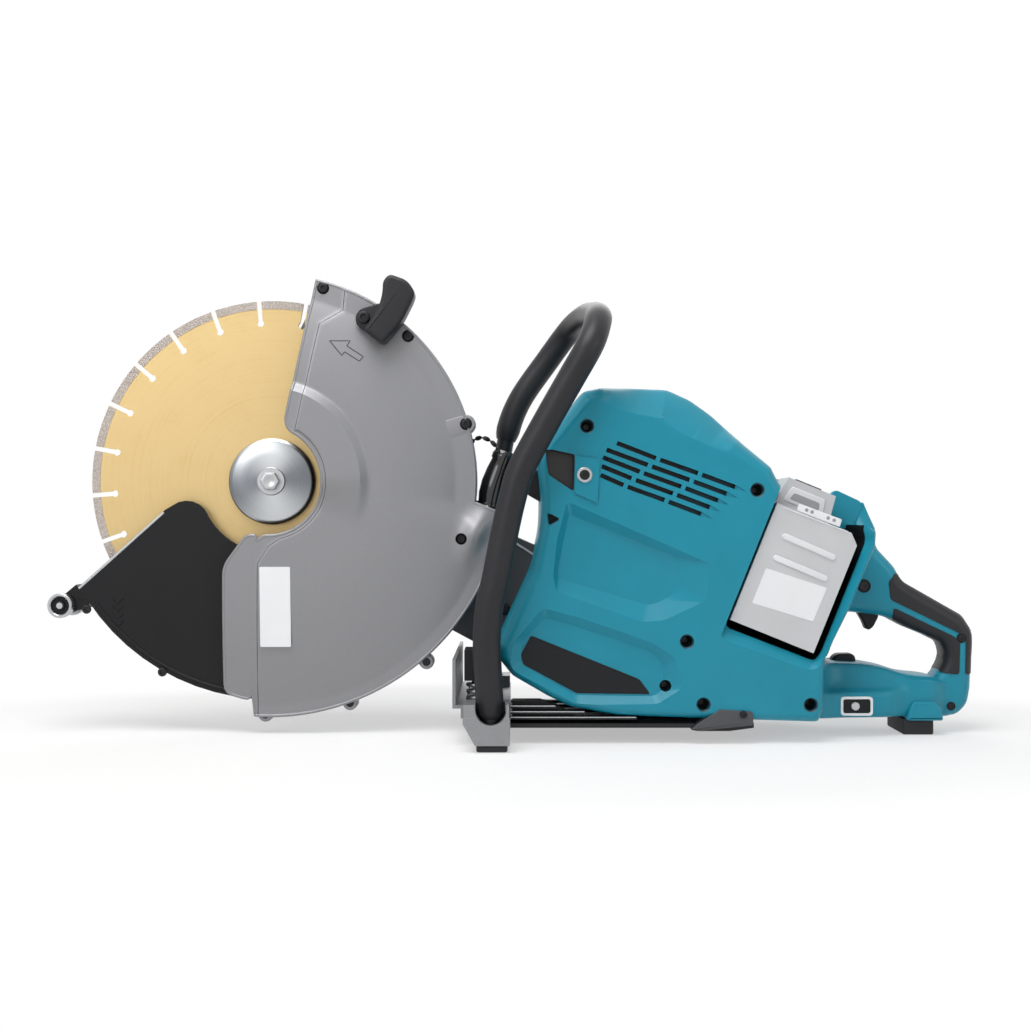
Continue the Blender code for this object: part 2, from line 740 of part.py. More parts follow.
shape(guard_lever, rod(SCREW_RADIUS + GAP, EAR_FACE - 1, EAR_FACE + SCREW_REACH + GAP, LEVER_SCREW))


def screw(centre, face, reach):
    """A round-headed screw along y, its head standing on a face."""
    under = face - GAP
    return turned([
        (0.0, under - SCREW_HEAD_HEIGHT),
        (SCREW_HEAD_RADIUS, under - SCREW_HEAD_HEIGHT),
        (SCREW_HEAD_RADIUS, under),
        (SCREW_RADIUS, under),
        (SCREW_RADIUS, face + reach),
        (0.0, face + reach),
    ], centre, SMALL_ROUND)


add("lever_screw", screw(LEVER_SCREW, EAR_FACE, SCREW_REACH), DARK_STEEL)

nozzle_base = step_point(NOZZLE_CLEAR + NOZZLE_BASE_RADIUS)
nozzle_way = Vector((-math.sin(STEP_DROP), 0.0, math.cos(STEP_DROP)))
nozzle_foot = Vector((nozzle_base[0], 0.0, nozzle_base[1])) + nozzle_way * GAP
NOZZLE_COLLAR = 14.0
nozzle_path = [nozzle_foot + nozzle_way * along for along in (0.0, NOZZLE_COLLAR, NOZZLE_LENGTH)]
nozzle_outer = [NOZZLE_BASE_RADIUS, NOZZLE_BASE_RADIUS, NOZZLE_TIP_RADIUS]
nozzle_inner = [radius - NOZZLE_WALL for radius in nozzle_outer]
add("dust_nozzle", sleeve(nozzle_path, nozzle_outer, nozzle_inner, SMALL_ROUND), BLACK)


# Front cover and roller

COVER_TIP = [(-196.0, -112.0), (-188.0, -104.0), (-103.0, -28.0)]
COVER_LOBE = arc(22.0, 128.0, 22.0, 6, (-82.0, -41.0))
COVER_HEEL = 208.0
COVER_NECK = 213.0
ROLLER = (ROLLER_X, ROLLER_Z)
ROLLER_AXIS = (ROLLER_X, 0.0, ROLLER_Z)


def cover_outline():
    inside = arc(COVER_INSIDE_RADIUS, COVER_HEEL, COVER_TAIL_ANGLE, 14)
    outside = arc(COVER_RADIUS, COVER_TAIL_ANGLE, COVER_NECK, 14)
    return [*COVER_TIP, *COVER_LOBE, *inside, *outside]


front_cover = add("front_cover", prism(cover_outline(), -COVER_HALF_WIDTH, COVER_HALF_WIDTH), BLACK)
lug = rod(COVER_LUG_RADIUS, -COVER_HALF_WIDTH + GAP, COVER_HALF_WIDTH - GAP, ROLLER)
shape(front_cover, lug, "UNION")
lug_web = [(-200.0, -128.5), (-208.0, -116.0), (-190.0, -101.0), (-176.0, -118.0), (-180.0, -124.0)]
shape(front_cover, prism(lug_web, -COVER_HALF_WIDTH + 2 * GAP, COVER_HALF_WIDTH - 2 * GAP), "UNION")
cover_slot = COVER_HALF_WIDTH - COVER_WALL
shape(front_cover, rod(COVER_RADIUS - COVER_WALL, -cover_slot, cover_slot, count=96))
shape(front_cover, rod(ROLLER_AXLE_RADIUS + RUNNING_FIT, -COVER_HALF_WIDTH - 1, COVER_HALF_WIDTH + 1, ROLLER))

wheel_near = COVER_HALF_WIDTH + GAP
wheel_far = wheel_near + ROLLER_WIDTH
wheel_bore = ROLLER_AXLE_RADIUS + GAP
add("roller_axle", rod(ROLLER_AXLE_RADIUS, -wheel_far, wheel_far, ROLLER), STEEL, ROLLER_AXIS)
near_wheel = ring(wheel_bore, ROLLER_RADIUS, -wheel_far, -wheel_near, ROLLER, SMALL_ROUND)
add("roller_near", near_wheel, STEEL, ROLLER_AXIS)
far_wheel = ring(wheel_bore, ROLLER_RADIUS, wheel_near, wheel_far, ROLLER, SMALL_ROUND)
add("roller_far", far_wheel, STEEL, ROLLER_AXIS)


# Motor body

BODY_OUTLINE = [
    (262, 32), (259, 18), (263, -19), (262, -47), (254, -84), (234, -126), (222, -153), (224, -168),
    (236, -183), (269, -202), (290, -212), (336, BODY_BOTTOM), (BODY_SEAM, BODY_BOTTOM),
    (BODY_SEAM, -132), (PACK_CORNER_X - PACK_PLAY, -128), in_bay(-PACK_PLAY, PACK_HEIGHT), behind(55, -8),
    behind(46, 12), behind(21, 34), behind(-8, 62), behind(-27, 76), behind(-49, 86), (320, 87), (302, 83),
]


def body_layers(side, drawn_in, middle):
    """Layers from the middle to one side, rounded over towards the face."""
    face = BODY_HALF_WIDTH - drawn_in
    return [
        (inset(BODY_OUTLINE, drawn_in), side * middle),
        (inset(BODY_OUTLINE, drawn_in), side * (face - BODY_SHOULDER)),
        (inset(BODY_OUTLINE, drawn_in + BODY_EDGE * 0.35), side * (face - BODY_SHOULDER * 0.3)),
        (inset(BODY_OUTLINE, drawn_in + BODY_EDGE), side * face),
    ]


shell_near = add("body_shell_near", stepped(body_layers(-1, 0.0, GAP / 2)), TEAL)
shape(shell_near, stepped(body_layers(-1, BODY_WALL, -1.0)))
seat_back = motor_bearing_near + MOTOR_BEARING_DEPTH
seat_front = -BODY_HALF_WIDTH + BODY_WALL - 1
seat_bore = MOTOR_BEARING_RADIUS + GAP
seat = ring(seat_bore, MOTOR_BEARING_RADIUS + BODY_WALL, seat_front, seat_back, MOTOR, SMALL_ROUND)
shape(shell_near, seat, "UNION")

shell_far = add("body_shell_far", stepped(body_layers(1, 0.0, GAP / 2)), TEAL)
shape(shell_far, stepped(body_layers(1, BODY_WALL, -1.0)))
ARM_ROOM = 1.0
arm_hole = arm_line(-ARM_ROOM)
shape(shell_far, prism(arm_hole, ARM_NEAR - ARM_ROOM, ARM_FAR + ARM_COVER_DEPTH + 2 * ARM_ROOM))

CONTROLLER_LOW = (325.0, -BODY_HALF_WIDTH + BODY_WALL + GAP, -12.0)
CONTROLLER_HIGH = (392.0, -40.0, 40.0)
add("motor_controller", block(CONTROLLER_LOW, CONTROLLER_HIGH), BLACK)

SIDE_PANEL = [(294.0, 22.0), (317.0, 19.0), (315.0, -22.0), (294.0, -13.0)]
SIDE_PANEL_DEPTH = 2.0
SIDE_SCREW = (303.0, 4.0)
panel_back = -BODY_HALF_WIDTH - GAP
panel_face = panel_back - SIDE_PANEL_DEPTH
side_panel = add("side_panel", prism(SIDE_PANEL, panel_face, panel_back), TEAL)
side_reach = SIDE_PANEL_DEPTH + GAP + BODY_WALL
side_hole = SCREW_RADIUS + GAP
shape(side_panel, rod(side_hole, panel_face - 1, panel_back + 1, SIDE_SCREW))
shape(shell_near, rod(side_hole, panel_back - 1, panel_face + side_reach + 1, SIDE_SCREW))
add("side_panel_screw", screw(SIDE_SCREW, panel_face, side_reach), STEEL)


# Front hoop, yoke and dampers

def near_leg(x, z):
    return Vector((x, HOOP_NEAR, z))


def far_leg(x, z):
    return Vector((x, HOOP_FAR, z))


HOOP = [
    near_leg(217, -226), near_leg(215, -191), near_leg(213, -155), near_leg(215, -119), near_leg(221, -91),
    near_leg(228, -55), near_leg(236, -19), near_leg(245, 10), near_leg(268, 53), near_leg(289, 90),
    near_leg(307, 122), Vector((315, HOOP_NEAR + 24, 145)), Vector((317, HOOP_NEAR + 62, 156)),
    Vector((315, 0, 164)), Vector((310, HOOP_FAR - 58, 169)), Vector((297, HOOP_FAR - 16, 162)),
    far_leg(273, 131), far_leg(244, 89), far_leg(230, 52), far_leg(222, 0), far_leg(215, -60),
    far_leg(213, -120), far_leg(215, -180), far_leg(217, -226),
]
HOOP_STEP_COUNT = 2
HOOP_SIDE_COUNT = 10
GRIP_SPAN_COUNT = 18
hoop_path = smooth_path(HOOP, HOOP_STEP_COUNT)
add("front_handle_tube", tube(hoop_path, HOOP_TUBE_RADIUS, HOOP_SIDE_COUNT), DARK_STEEL)
grip_path = hoop_path[: GRIP_SPAN_COUNT * HOOP_STEP_COUNT + 1]
grip_outer = [HOOP_GRIP_RADIUS] * len(grip_path)
grip_inner = [HOOP_TUBE_RADIUS + GAP] * len(grip_path)
add("front_handle_grip", sleeve(grip_path, grip_outer, grip_inner, HOOP_SIDE_COUNT), RUBBER)

POST_DEPTH = 38.0
YOKE_TAPER = 11.0


def yoke_outline(top, drawn_in):
    """The yoke's side, narrower at the foot than above."""
    front = YOKE_FRONT + drawn_in
    back = YOKE_BACK - drawn_in
    bottom = YOKE_BOTTOM + drawn_in
    chin = YOKE_TOP - YOKE_TAPER / 2
    return [(front, top), (front, chin), (front + YOKE_TAPER, bottom), (back, bottom), (back, top)]


yoke = add("front_yoke", prism(yoke_outline(YOKE_TOP, 0.0), -YOKE_HALF_WIDTH, YOKE_HALF_WIDTH), CAST)
for side in (-1, 1):
    ends = sorted((side * (YOKE_HALF_WIDTH - 1), side * (YOKE_HALF_WIDTH - POST_DEPTH)))
    shape(yoke, prism(yoke_outline(YOKE_POST_TOP, 1.0), *ends), "UNION")
SOCKET_SIDES = 24
near_foot = [HOOP[0] - Vector((0, 0, GAP)), HOOP[1] + Vector((-1, 0, 20))]
far_foot = [HOOP[-1] - Vector((0, 0, GAP)), HOOP[-2] + Vector((-1, 0, 20))]
shape(yoke, tube(near_foot, HOOP_GRIP_RADIUS + RUNNING_FIT, SOCKET_SIDES))
shape(yoke, tube(far_foot, HOOP_TUBE_RADIUS + RUNNING_FIT, SOCKET_SIDES))
window = HOOP_GRIP_RADIUS * 0.8
window_low = (HOOP[0].x - window, -YOKE_HALF_WIDTH - 1, HOOP[0].z)
window_high = (HOOP[0].x + window, HOOP_NEAR, YOKE_POST_TOP + 1)
shape(yoke, block(window_low, window_high))

FOOT_INSET = 12.0
for name, side in (("near", -1), ("far", 1)):
    ends = sorted((side * (YOKE_HALF_WIDTH - 2), side * (YOKE_HALF_WIDTH - POST_DEPTH)))
    low = (YOKE_FRONT + FOOT_INSET, ends[0], FLOOR)
    high = (YOKE_BACK - 2, ends[1], YOKE_BOTTOM - GAP)
    add(f"front_foot_{name}", block(low, high), RUBBER)


def spring_path(y):
    """One unbroken coil, its ends lying flat on the yoke and under the seat."""
    per_turn = 10
    count = SPRING_TURNS * per_turn
    low = YOKE_TOP + GAP + SPRING_WIRE
    coil = SPRING_RADIUS - SPRING_WIRE
    points = []
    for i in range(count + 1):
        angle = 2 * math.pi * i / per_turn
        rise = low + SPRING_PITCH * i / per_turn
        points.append(Vector((SPRING_X + coil * math.cos(angle), y + coil * math.sin(angle), rise)))
    return points


def least_gap(path, wire, per_turn=10):
    """The least distance between the wire's surfaces on neighbouring turns."""
    gaps = [
        (a - b).length - 2 * wire
        for i, a in enumerate(path)
        for b in path[i + per_turn // 2:]
    ]
    return min(gaps)


SEAT_BOTTOM = YOKE_TOP + 2 * GAP + 2 * SPRING_WIRE + SPRING_TURNS * SPRING_PITCH
SEAT_BACK = 221.0
SEAT_HALF = 18.0
for name, side, height in (("near", -1, SEAT_HEIGHT_NEAR), ("far", 1, SEAT_HEIGHT_FAR)):
    coil = spring_path(side * SPRING_Y)
    print(f"damper_spring_{name}: least gap to itself {least_gap(coil, SPRING_WIRE):.2f} mm")
    add(f"damper_spring_{name}", tube(coil, SPRING_WIRE, 6), STEEL)
    low = (YOKE_FRONT, side * SPRING_Y - SEAT_HALF, SEAT_BOTTOM)
    high = (SEAT_BACK, side * SPRING_Y + SEAT_HALF, SEAT_BOTTOM + height)
    add(f"spring_seat_{name}", block(low, high), BLACK)

PLATE_FRONT = 181.0
PLATE_THICKNESS = 3.0
PLATE_TOP = -166.0
PLATE_BOTTOM = -208.0
PLATE_HALF_WIDTH = 92.0
hook = YOKE_FRONT - GAP
plate_back = PLATE_FRONT + PLATE_THICKNESS
plate_outline = [
    (PLATE_FRONT, PLATE_TOP), (plate_back, PLATE_TOP), (plate_back, PLATE_BOTTOM),
    (hook, PLATE_BOTTOM), (hook, PLATE_BOTTOM - PLATE_THICKNESS * 4),
    (hook - PLATE_THICKNESS, PLATE_BOTTOM - PLATE_THICKNESS * 4),
    (hook - PLATE_THICKNESS, PLATE_BOTTOM - PLATE_THICKNESS), (PLATE_FRONT, PLATE_BOTTOM - PLATE_THICKNESS),
]
add("deflector_plate", prism(plate_outline, -PLATE_HALF_WIDTH, PLATE_HALF_WIDTH), SILVER)


# Base plate

def ribbed_outline():
    """The plate's section across the saw, with ribs that run along it."""
    outline = [(-BASE_HALF_WIDTH, BASE_TOP - BASE_THICKNESS)]
    pitch = 2 * BASE_HALF_WIDTH / BASE_RIBS
    for i in range(BASE_RIBS):
        middle = -BASE_HALF_WIDTH + pitch * (i + 0.5)
        half = BASE_RIB_WIDTH / 2
        outline += [
            (middle - half - BASE_RIB_HEIGHT, BASE_TOP), (middle - half, BASE_TOP + BASE_RIB_HEIGHT),
            (middle + half, BASE_TOP + BASE_RIB_HEIGHT), (middle + half + BASE_RIB_HEIGHT, BASE_TOP),
        ]
    outline.insert(1, (-BASE_HALF_WIDTH, BASE_TOP))
    return [*outline, (BASE_HALF_WIDTH, BASE_TOP), (BASE_HALF_WIDTH, BASE_TOP - BASE_THICKNESS)]


add("base_plate", prism_along_x(ribbed_outline(), YOKE_BACK + GAP, BASE_BACK), DARK_STEEL)

BRACKET_FRONT = BASE_BACK + GAP
BRACKET_BACK = BODY_SEAM + 31.0
BRACKET_LOW = -236.0
bracket_outline = [
    (BRACKET_FRONT, BODY_BOTTOM - GAP), (BODY_SEAM + 1, BODY_BOTTOM - GAP),
    (BODY_SEAM + 1, HOUSING_BOTTOM - GAP), (BRACKET_BACK, HOUSING_BOTTOM - GAP),
    (BRACKET_BACK, HOUSING_BOTTOM - 5), (BODY_SEAM + 8, BRACKET_LOW), (BRACKET_FRONT, BRACKET_LOW),
]
add("base_bracket", prism(bracket_outline, -BASE_HALF_WIDTH * 0.8, BASE_HALF_WIDTH * 0.8), DARK_STEEL)


# Rear housing, bay spine and batteries

HOUSING_FRONT = BODY_SEAM + 2
SADDLE_TOP = -174.3
HOUSING_EDGE = 4.0
HOUSING_OUTLINE = [
    (HOUSING_FRONT, HOUSING_BOTTOM), (HOUSING_END - 11, HOUSING_BOTTOM), (HOUSING_END, HOUSING_BOTTOM + 6),
    (HOUSING_END, SADDLE_TOP), behind(109, SADDLE_TOP), in_bay(PACK_WIDTH + 5, -PACK_PLAY),
    (HOUSING_FRONT, PACK_CORNER_Z - 2 * PACK_PLAY),
]
BAY_CORNER = behind(94, -171.3)
BAY_FRONT = HOUSING_FRONT + GAP
BAY_OUTLINE = [
    (BAY_FRONT, HOUSING_BOTTOM + GAP), (BAY_CORNER[0], HOUSING_BOTTOM + GAP), BAY_CORNER,
    in_bay(PACK_WIDTH + 4, -PACK_PLAY - GAP), (BAY_FRONT, PACK_CORNER_Z - 2 * PACK_PLAY - GAP),
]
WING_GAP = 2.0
WING_ROOT = 14.0
WING_OUTLINE = [
    in_bay(PACK_WIDTH + WING_GAP, -WING_ROOT), in_bay(PACK_WIDTH + WING_GAP, WING_HEIGHT),
    behind(143.4, -46.9), behind(141.5, -67.4), behind(116.5, -122.0), behind(93.0, -172.0),
    behind(88.0, -172.0 - WING_ROOT),
]


def edged(outline, half_width):
    """A block across the saw whose side edges are chamfered."""
    drawn = inset(outline, HOUSING_EDGE)
    shoulder = half_width - HOUSING_EDGE
    return stepped([(drawn, -half_width), (outline, -shoulder), (outline, shoulder), (drawn, half_width)])


rear_housing = add("rear_housing", edged(HOUSING_OUTLINE, HOUSING_HALF_WIDTH), TEAL)
shape(rear_housing, edged(BAY_OUTLINE, BAY_HALF_WIDTH), "UNION")
wing_inside = HANDLE_HALF_WIDTH + GAP
shape(rear_housing, prism(WING_OUTLINE, -WING_HALF_WIDTH, -wing_inside), "UNION")
shape(rear_housing, prism(WING_OUTLINE, wing_inside, WING_HALF_WIDTH), "UNION")
lock_half = LOCK_LENGTH / 2
lock_top = SADDLE_TOP + LOCK_STANDS
lock_bottom = lock_top - LOCK_HEIGHT
lock_well = block(
    (LOCK_X - lock_half - RUNNING_FIT, -LOCK_HALF_WIDTH - RUNNING_FIT, lock_bottom - LOCK_TRAVEL - 1),
    (LOCK_X + lock_half + RUNNING_FIT, LOCK_HALF_WIDTH + RUNNING_FIT, lock_top + 1),
)
shape(rear_housing, lock_well)
lock_low = (LOCK_X - lock_half, -LOCK_HALF_WIDTH, lock_bottom)
lock_high = (LOCK_X + lock_half, LOCK_HALF_WIDTH, lock_top)
add("lock_button", block(lock_low, lock_high), BLACK, (LOCK_X, 0.0, lock_bottom))

housing_face = -HOUSING_HALF_WIDTH
panel_near = housing_face - GAP - PANEL_DEPTH
PANEL_LOW = (PANEL_X - PANEL_LENGTH / 2, panel_near, PANEL_Z - PANEL_HEIGHT / 2)
PANEL_HIGH = (PANEL_X + PANEL_LENGTH / 2, housing_face - GAP, PANEL_Z + PANEL_HEIGHT / 2)
BUTTON = (PANEL_X - 1.5, PANEL_Z)
button_well = BUTTON_RADIUS + RUNNING_FIT
control_panel = add("control_panel", block(PANEL_LOW, PANEL_HIGH), BLACK)
shape(control_panel, rod(button_well, panel_near - 1, housing_face, BUTTON))
button_back = panel_near - BUTTON_STANDS + BUTTON_DEPTH
shape(rear_housing, rod(button_well, housing_face - 1, button_back + BUTTON_TRAVEL + 1, BUTTON))
button = rod(BUTTON_RADIUS, panel_near - BUTTON_STANDS, button_back, BUTTON)
add("power_button", button, PALE, (BUTTON[0], button_back, BUTTON[1]))

SPINE_TOP = 84.0
spine_outline = [
    in_bay(0.0, 0.0), in_bay(PACK_WIDTH, 0.0), in_bay(PACK_WIDTH, SPINE_TOP), in_bay(0.0, SPINE_TOP),
]
add("bay_spine", prism(spine_outline, -SPINE_HALF, SPINE_HALF), BLACK)

pack_inside = SPINE_HALF + PACK_PLAY
PACK_CORNER = 9.0
pack_outline = [
    in_bay(0.0, 0.0), in_bay(PACK_WIDTH, 0.0), in_bay(PACK_WIDTH, PACK_HEIGHT - PACK_CORNER),
    in_bay(PACK_WIDTH - PACK_CORNER, PACK_HEIGHT), in_bay(0.0, PACK_HEIGHT),
]
head_top = PACK_HEIGHT + PACK_HEAD_HEIGHT
head_outline = [
    in_bay(2.0, PACK_HEIGHT - 2), in_bay(PACK_HEAD_WIDTH, PACK_HEIGHT - 2),
    in_bay(PACK_HEAD_WIDTH - 4, head_top), in_bay(6.0, head_top),
]
latch_middle = PACK_HEAD_WIDTH / 2
LATCH_PLAY = 0.5
LATCH_STANDS = 2.5


def latch_outline(play, sink=0.0):
    half = LATCH_WIDTH / 2 + play
    low = head_top - LATCH_DEPTH - play - sink
    high = head_top + LATCH_STANDS
    left = latch_middle - half
    right = latch_middle + half
    return [in_bay(left, low), in_bay(right, low), in_bay(right, high + play), in_bay(left, high + play)]


for name, side in (("near", -1), ("far", 1)):
    ends = sorted((side * pack_inside, side * (pack_inside + PACK_DEPTH)))
    pack = add(f"battery_{name}", prism(pack_outline, *ends), PALE)
    head_ends = sorted((side * (pack_inside + 1), side * (pack_inside + PACK_HEAD_DEPTH)))
    shape(pack, prism(head_outline, *head_ends), "UNION")
    latch_near = side * (pack_inside + PACK_HEAD_DEPTH / 2) - LATCH_HEIGHT / 2
    latch_far = latch_near + LATCH_HEIGHT
    latch_room = latch_outline(LATCH_PLAY, LATCH_TRAVEL)
    shape(pack, prism(latch_room, latch_near - LATCH_PLAY, latch_far + LATCH_PLAY))
    latch_x, latch_z = in_bay(latch_middle, head_top)
    latch_pivot = (latch_x, latch_near, latch_z)
    add(f"latch_{name}", prism(latch_outline(0.0), latch_near, latch_far), BLACK, latch_pivot)


# Rear handle

TAIL_BOTTOM = -229.0
PAD_TOP = -206.0
GRIP_LINE = [
    behind(181, -96.0), behind(229, -122.4), behind(244, -133.0), behind(251, -145.0), behind(253, -159.0),
    behind(253, -203.0),
]
HAND_HOLE = [
    (HOUSING_END + GAP, -184.0), behind(220, -185.6), behind(225, -174.0), behind(225, -164.0),
    behind(220, -154.5), behind(191, -141.0), behind(163, -132.0), behind(130, -127.0),
]
HANDLE_FOOT = [
    behind(111, SADDLE_TOP + GAP), behind(109.3, SADDLE_TOP + 2 * GAP), in_bay(PACK_WIDTH + 6, 0.5),
]
HANDLE_TAIL = [
    behind(249, -217.0), behind(239.5, -226.6), behind(224.6, TAIL_BOTTOM), (HOUSING_END + GAP, TAIL_BOTTOM),
]
handle_outline = [
    in_bay(PACK_WIDTH + WING_GAP, 12.0), in_bay(PACK_WIDTH + WING_GAP, 149.0), behind(148, -19.0),
    behind(160.4, -47.6), behind(158.5, -65.0), behind(178, -84.5),
    *beside(GRIP_LINE, GRIP_THICKNESS + GAP), *HANDLE_TAIL, *HAND_HOLE, *HANDLE_FOOT,
]
rear_handle = add("rear_handle", prism(handle_outline, -HANDLE_HALF_WIDTH, HANDLE_HALF_WIDTH), TEAL)
PAD_HALF = 30.0
REAR_FOOT_FRONT = BODY_SEAM + 181.0
REAR_FOOT_BACK = BODY_SEAM + 211.0
pad_low = (REAR_FOOT_FRONT - 1, -PAD_HALF, TAIL_BOTTOM + GAP)
tail_pad = block(pad_low, (REAR_FOOT_BACK + 1, PAD_HALF, PAD_TOP))
shape(rear_handle, tail_pad, "UNION")
foot_low = (REAR_FOOT_FRONT, -PAD_HALF + 1, FLOOR)
foot_high = (REAR_FOOT_BACK, PAD_HALF - 1, TAIL_BOTTOM - GAP)
add("rear_foot", block(foot_low, foot_high), RUBBER)
grip_band = GRIP_LINE + beside(GRIP_LINE, GRIP_THICKNESS)[::-1]
add("rear_grip", prism(grip_band, -HANDLE_HALF_WIDTH, HANDLE_HALF_WIDTH), RUBBER)


# Trigger

TRIGGER = (TRIGGER_X, TRIGGER_Z)
TRIGGER_AXIS = (TRIGGER_X, 0.0, TRIGGER_Z)
TRIGGER_OUTLINE = [
    behind(139, -116.0), behind(162, -118.0), behind(164, -130.0), behind(154, -146.0), behind(140, -130.0),
]
SLOT_FRONT = BODY_SEAM + 134.0
SLOT_BACK = BODY_SEAM + 181.0
SLOT_TOP = -109.0
SLOT_BOTTOM = -150.0
SWITCH_LENGTH = 12.0
SWITCH_BOTTOM = -131.0
slot_half = TRIGGER_HALF_WIDTH + GAP
shape(rear_handle, block((SLOT_FRONT, -slot_half, SLOT_BOTTOM), (SLOT_BACK, slot_half, SLOT_TOP)))
PIN_REACH = HANDLE_HALF_WIDTH - 4
shape(rear_handle, rod(TRIGGER_PIN_RADIUS + GAP, -PIN_REACH - GAP, PIN_REACH + GAP, TRIGGER))
add("trigger_pin", rod(TRIGGER_PIN_RADIUS, -PIN_REACH, PIN_REACH, TRIGGER), STEEL)
trigger = prism(TRIGGER_OUTLINE, -TRIGGER_HALF_WIDTH, TRIGGER_HALF_WIDTH)
trigger = add("trigger", trigger, BLACK, TRIGGER_AXIS)
trigger_bore = TRIGGER_PIN_RADIUS + RUNNING_FIT
shape(trigger, rod(trigger_bore, -TRIGGER_HALF_WIDTH - 1, TRIGGER_HALF_WIDTH + 1, TRIGGER))
switch_low = (SLOT_BACK - SWITCH_LENGTH, -TRIGGER_HALF_WIDTH, SWITCH_BOTTOM)
switch_high = (SLOT_BACK - GAP, TRIGGER_HALF_WIDTH, SLOT_TOP - GAP)
add("trigger_switch", block(switch_low, switch_high), BLACK)
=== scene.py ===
# %% [markdown]
# Rescue saw: dressing a packed mechanical model.
# The solids, joints and sizes are already fixed. This lesson gives every surface its finish, and
# rebuilds the shapes that a plain solid shows too simply: moulded shells, soft grips, coils.
# Every place below is measured in millimetres from the middle of the cutting disc, because the
# disc is the one size that is known for sure. One function turns that into the model's metres.

# %% Load the fixed model
import json
import math

import bmesh
import bpy
import numpy as np
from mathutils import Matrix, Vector

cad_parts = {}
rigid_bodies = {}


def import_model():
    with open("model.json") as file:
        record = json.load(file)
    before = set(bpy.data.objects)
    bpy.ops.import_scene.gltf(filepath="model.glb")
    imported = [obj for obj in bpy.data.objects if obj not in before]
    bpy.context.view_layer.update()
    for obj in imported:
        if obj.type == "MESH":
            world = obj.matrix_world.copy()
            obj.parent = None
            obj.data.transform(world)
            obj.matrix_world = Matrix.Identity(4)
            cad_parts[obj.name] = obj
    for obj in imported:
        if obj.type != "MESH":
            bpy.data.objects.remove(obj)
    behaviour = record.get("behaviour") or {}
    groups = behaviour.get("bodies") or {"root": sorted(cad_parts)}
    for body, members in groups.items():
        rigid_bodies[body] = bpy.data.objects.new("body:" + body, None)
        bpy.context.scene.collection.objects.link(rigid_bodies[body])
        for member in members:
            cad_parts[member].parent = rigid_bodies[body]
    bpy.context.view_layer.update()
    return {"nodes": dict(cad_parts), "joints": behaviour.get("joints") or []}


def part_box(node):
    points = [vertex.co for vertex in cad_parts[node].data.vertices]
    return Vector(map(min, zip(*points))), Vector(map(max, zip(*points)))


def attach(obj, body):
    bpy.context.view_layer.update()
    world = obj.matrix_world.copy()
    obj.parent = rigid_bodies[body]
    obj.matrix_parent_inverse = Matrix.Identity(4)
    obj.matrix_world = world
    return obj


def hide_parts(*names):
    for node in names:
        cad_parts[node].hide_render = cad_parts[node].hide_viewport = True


for leftover in list(bpy.data.objects):
    bpy.data.objects.remove(leftover, do_unlink=True)
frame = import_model()
NODES = frame["nodes"]
JOINTS = {joint["name"]: joint for joint in frame["joints"]}
DISC = Vector(JOINTS["disc_spin"]["pos_m"])
MM = 0.001


def at(x, y, z):
    """A place in millimetres from the disc's middle, in the model's metres."""
    return DISC + Vector((x, y, z)) * MM


# %% [markdown]
# Camera. The photograph was taken level with the saw's side. The near leg of the hoop looks 1.18
# times as wide as the far one, which puts the lens about 1.35 m from the disc.
# A level camera keeps upright edges upright, so no shift is needed. With the camera known, a pixel
# of the photograph gives a place on the saw at any depth, and many outlines below are drawn so.

# %% Camera
PHOTO_SIDE = 1031.0
CAMERA_AWAY = 1350.0
FOCAL_PIXELS = 1369.0
CAMERA_X = 239.1
CAMERA_Z = -33.5
FILM_WIDTH = 36.0
lens = bpy.data.cameras.new("photo_lens")
lens.sensor_width = FILM_WIDTH
lens.lens = FILM_WIDTH * FOCAL_PIXELS / PHOTO_SIDE
lens.clip_start = 0.01
camera = bpy.data.objects.new("photo_camera", lens)
camera.location = at(CAMERA_X, -CAMERA_AWAY, CAMERA_Z)
camera.rotation_euler = (math.radians(90), 0, 0)
bpy.context.scene.collection.objects.link(camera)
bpy.context.scene.camera = camera
print(f"lens {lens.lens:.1f} mm")


def seen(px, py, depth):
    """The x and z in millimetres of a pixel of the photograph, at a depth y."""
    scale = (CAMERA_AWAY + depth) / FOCAL_PIXELS
    middle = PHOTO_SIDE / 2
    return ((px - middle) * scale + CAMERA_X, (middle - py) * scale + CAMERA_Z)


def traced(depth, *pixels):
    """A line of pixels of the photograph as x and z at one depth."""
    return [seen(px, py, depth) for px, py in pixels]


# %% [markdown]
# Node helper and colours. Colours are written as sRGB hex, as a paint chart would give them, and
# one function turns them into the linear values that the shader needs.

# %% Colour and node helpers
def linear(hexcode):
    """An sRGB hex colour as linear values."""
    channels = [int(hexcode[i:i + 2], 16) / 255 for i in (1, 3, 5)]
    return (*[c / 12.92 if c <= 0.04045 else ((c + 0.055) / 1.055) ** 2.4 for c in channels], 1.0)


def shaded(hexcode, share):
    """A colour made lighter by a share of itself, or darker by a negative one."""
    return (*[min(1.0, c * (1 + share)) for c in linear(hexcode)[:3]], 1.0)


def link(tree, target, links):
    """Feeds a node: each link is (input, source node, output)."""
    for entry, source, output in links:
        tree.links.new(source.outputs[output], target.inputs[entry])


def node(tree, kind, links=(), values=(), **settings):
    """Adds one node: settings that are names of properties are set, the rest are input values.

    links holds what feeds it, and values holds (number of the input, value).
    """
    made = tree.nodes.new(kind)
    for key, value in settings.items():
        if hasattr(made, key):
            setattr(made, key, value)
        else:
            made.inputs[key.replace("_", " ")].default_value = value
    for entry, value in values:
        made.inputs[entry].default_value = value
    link(tree, made, links)
    return made


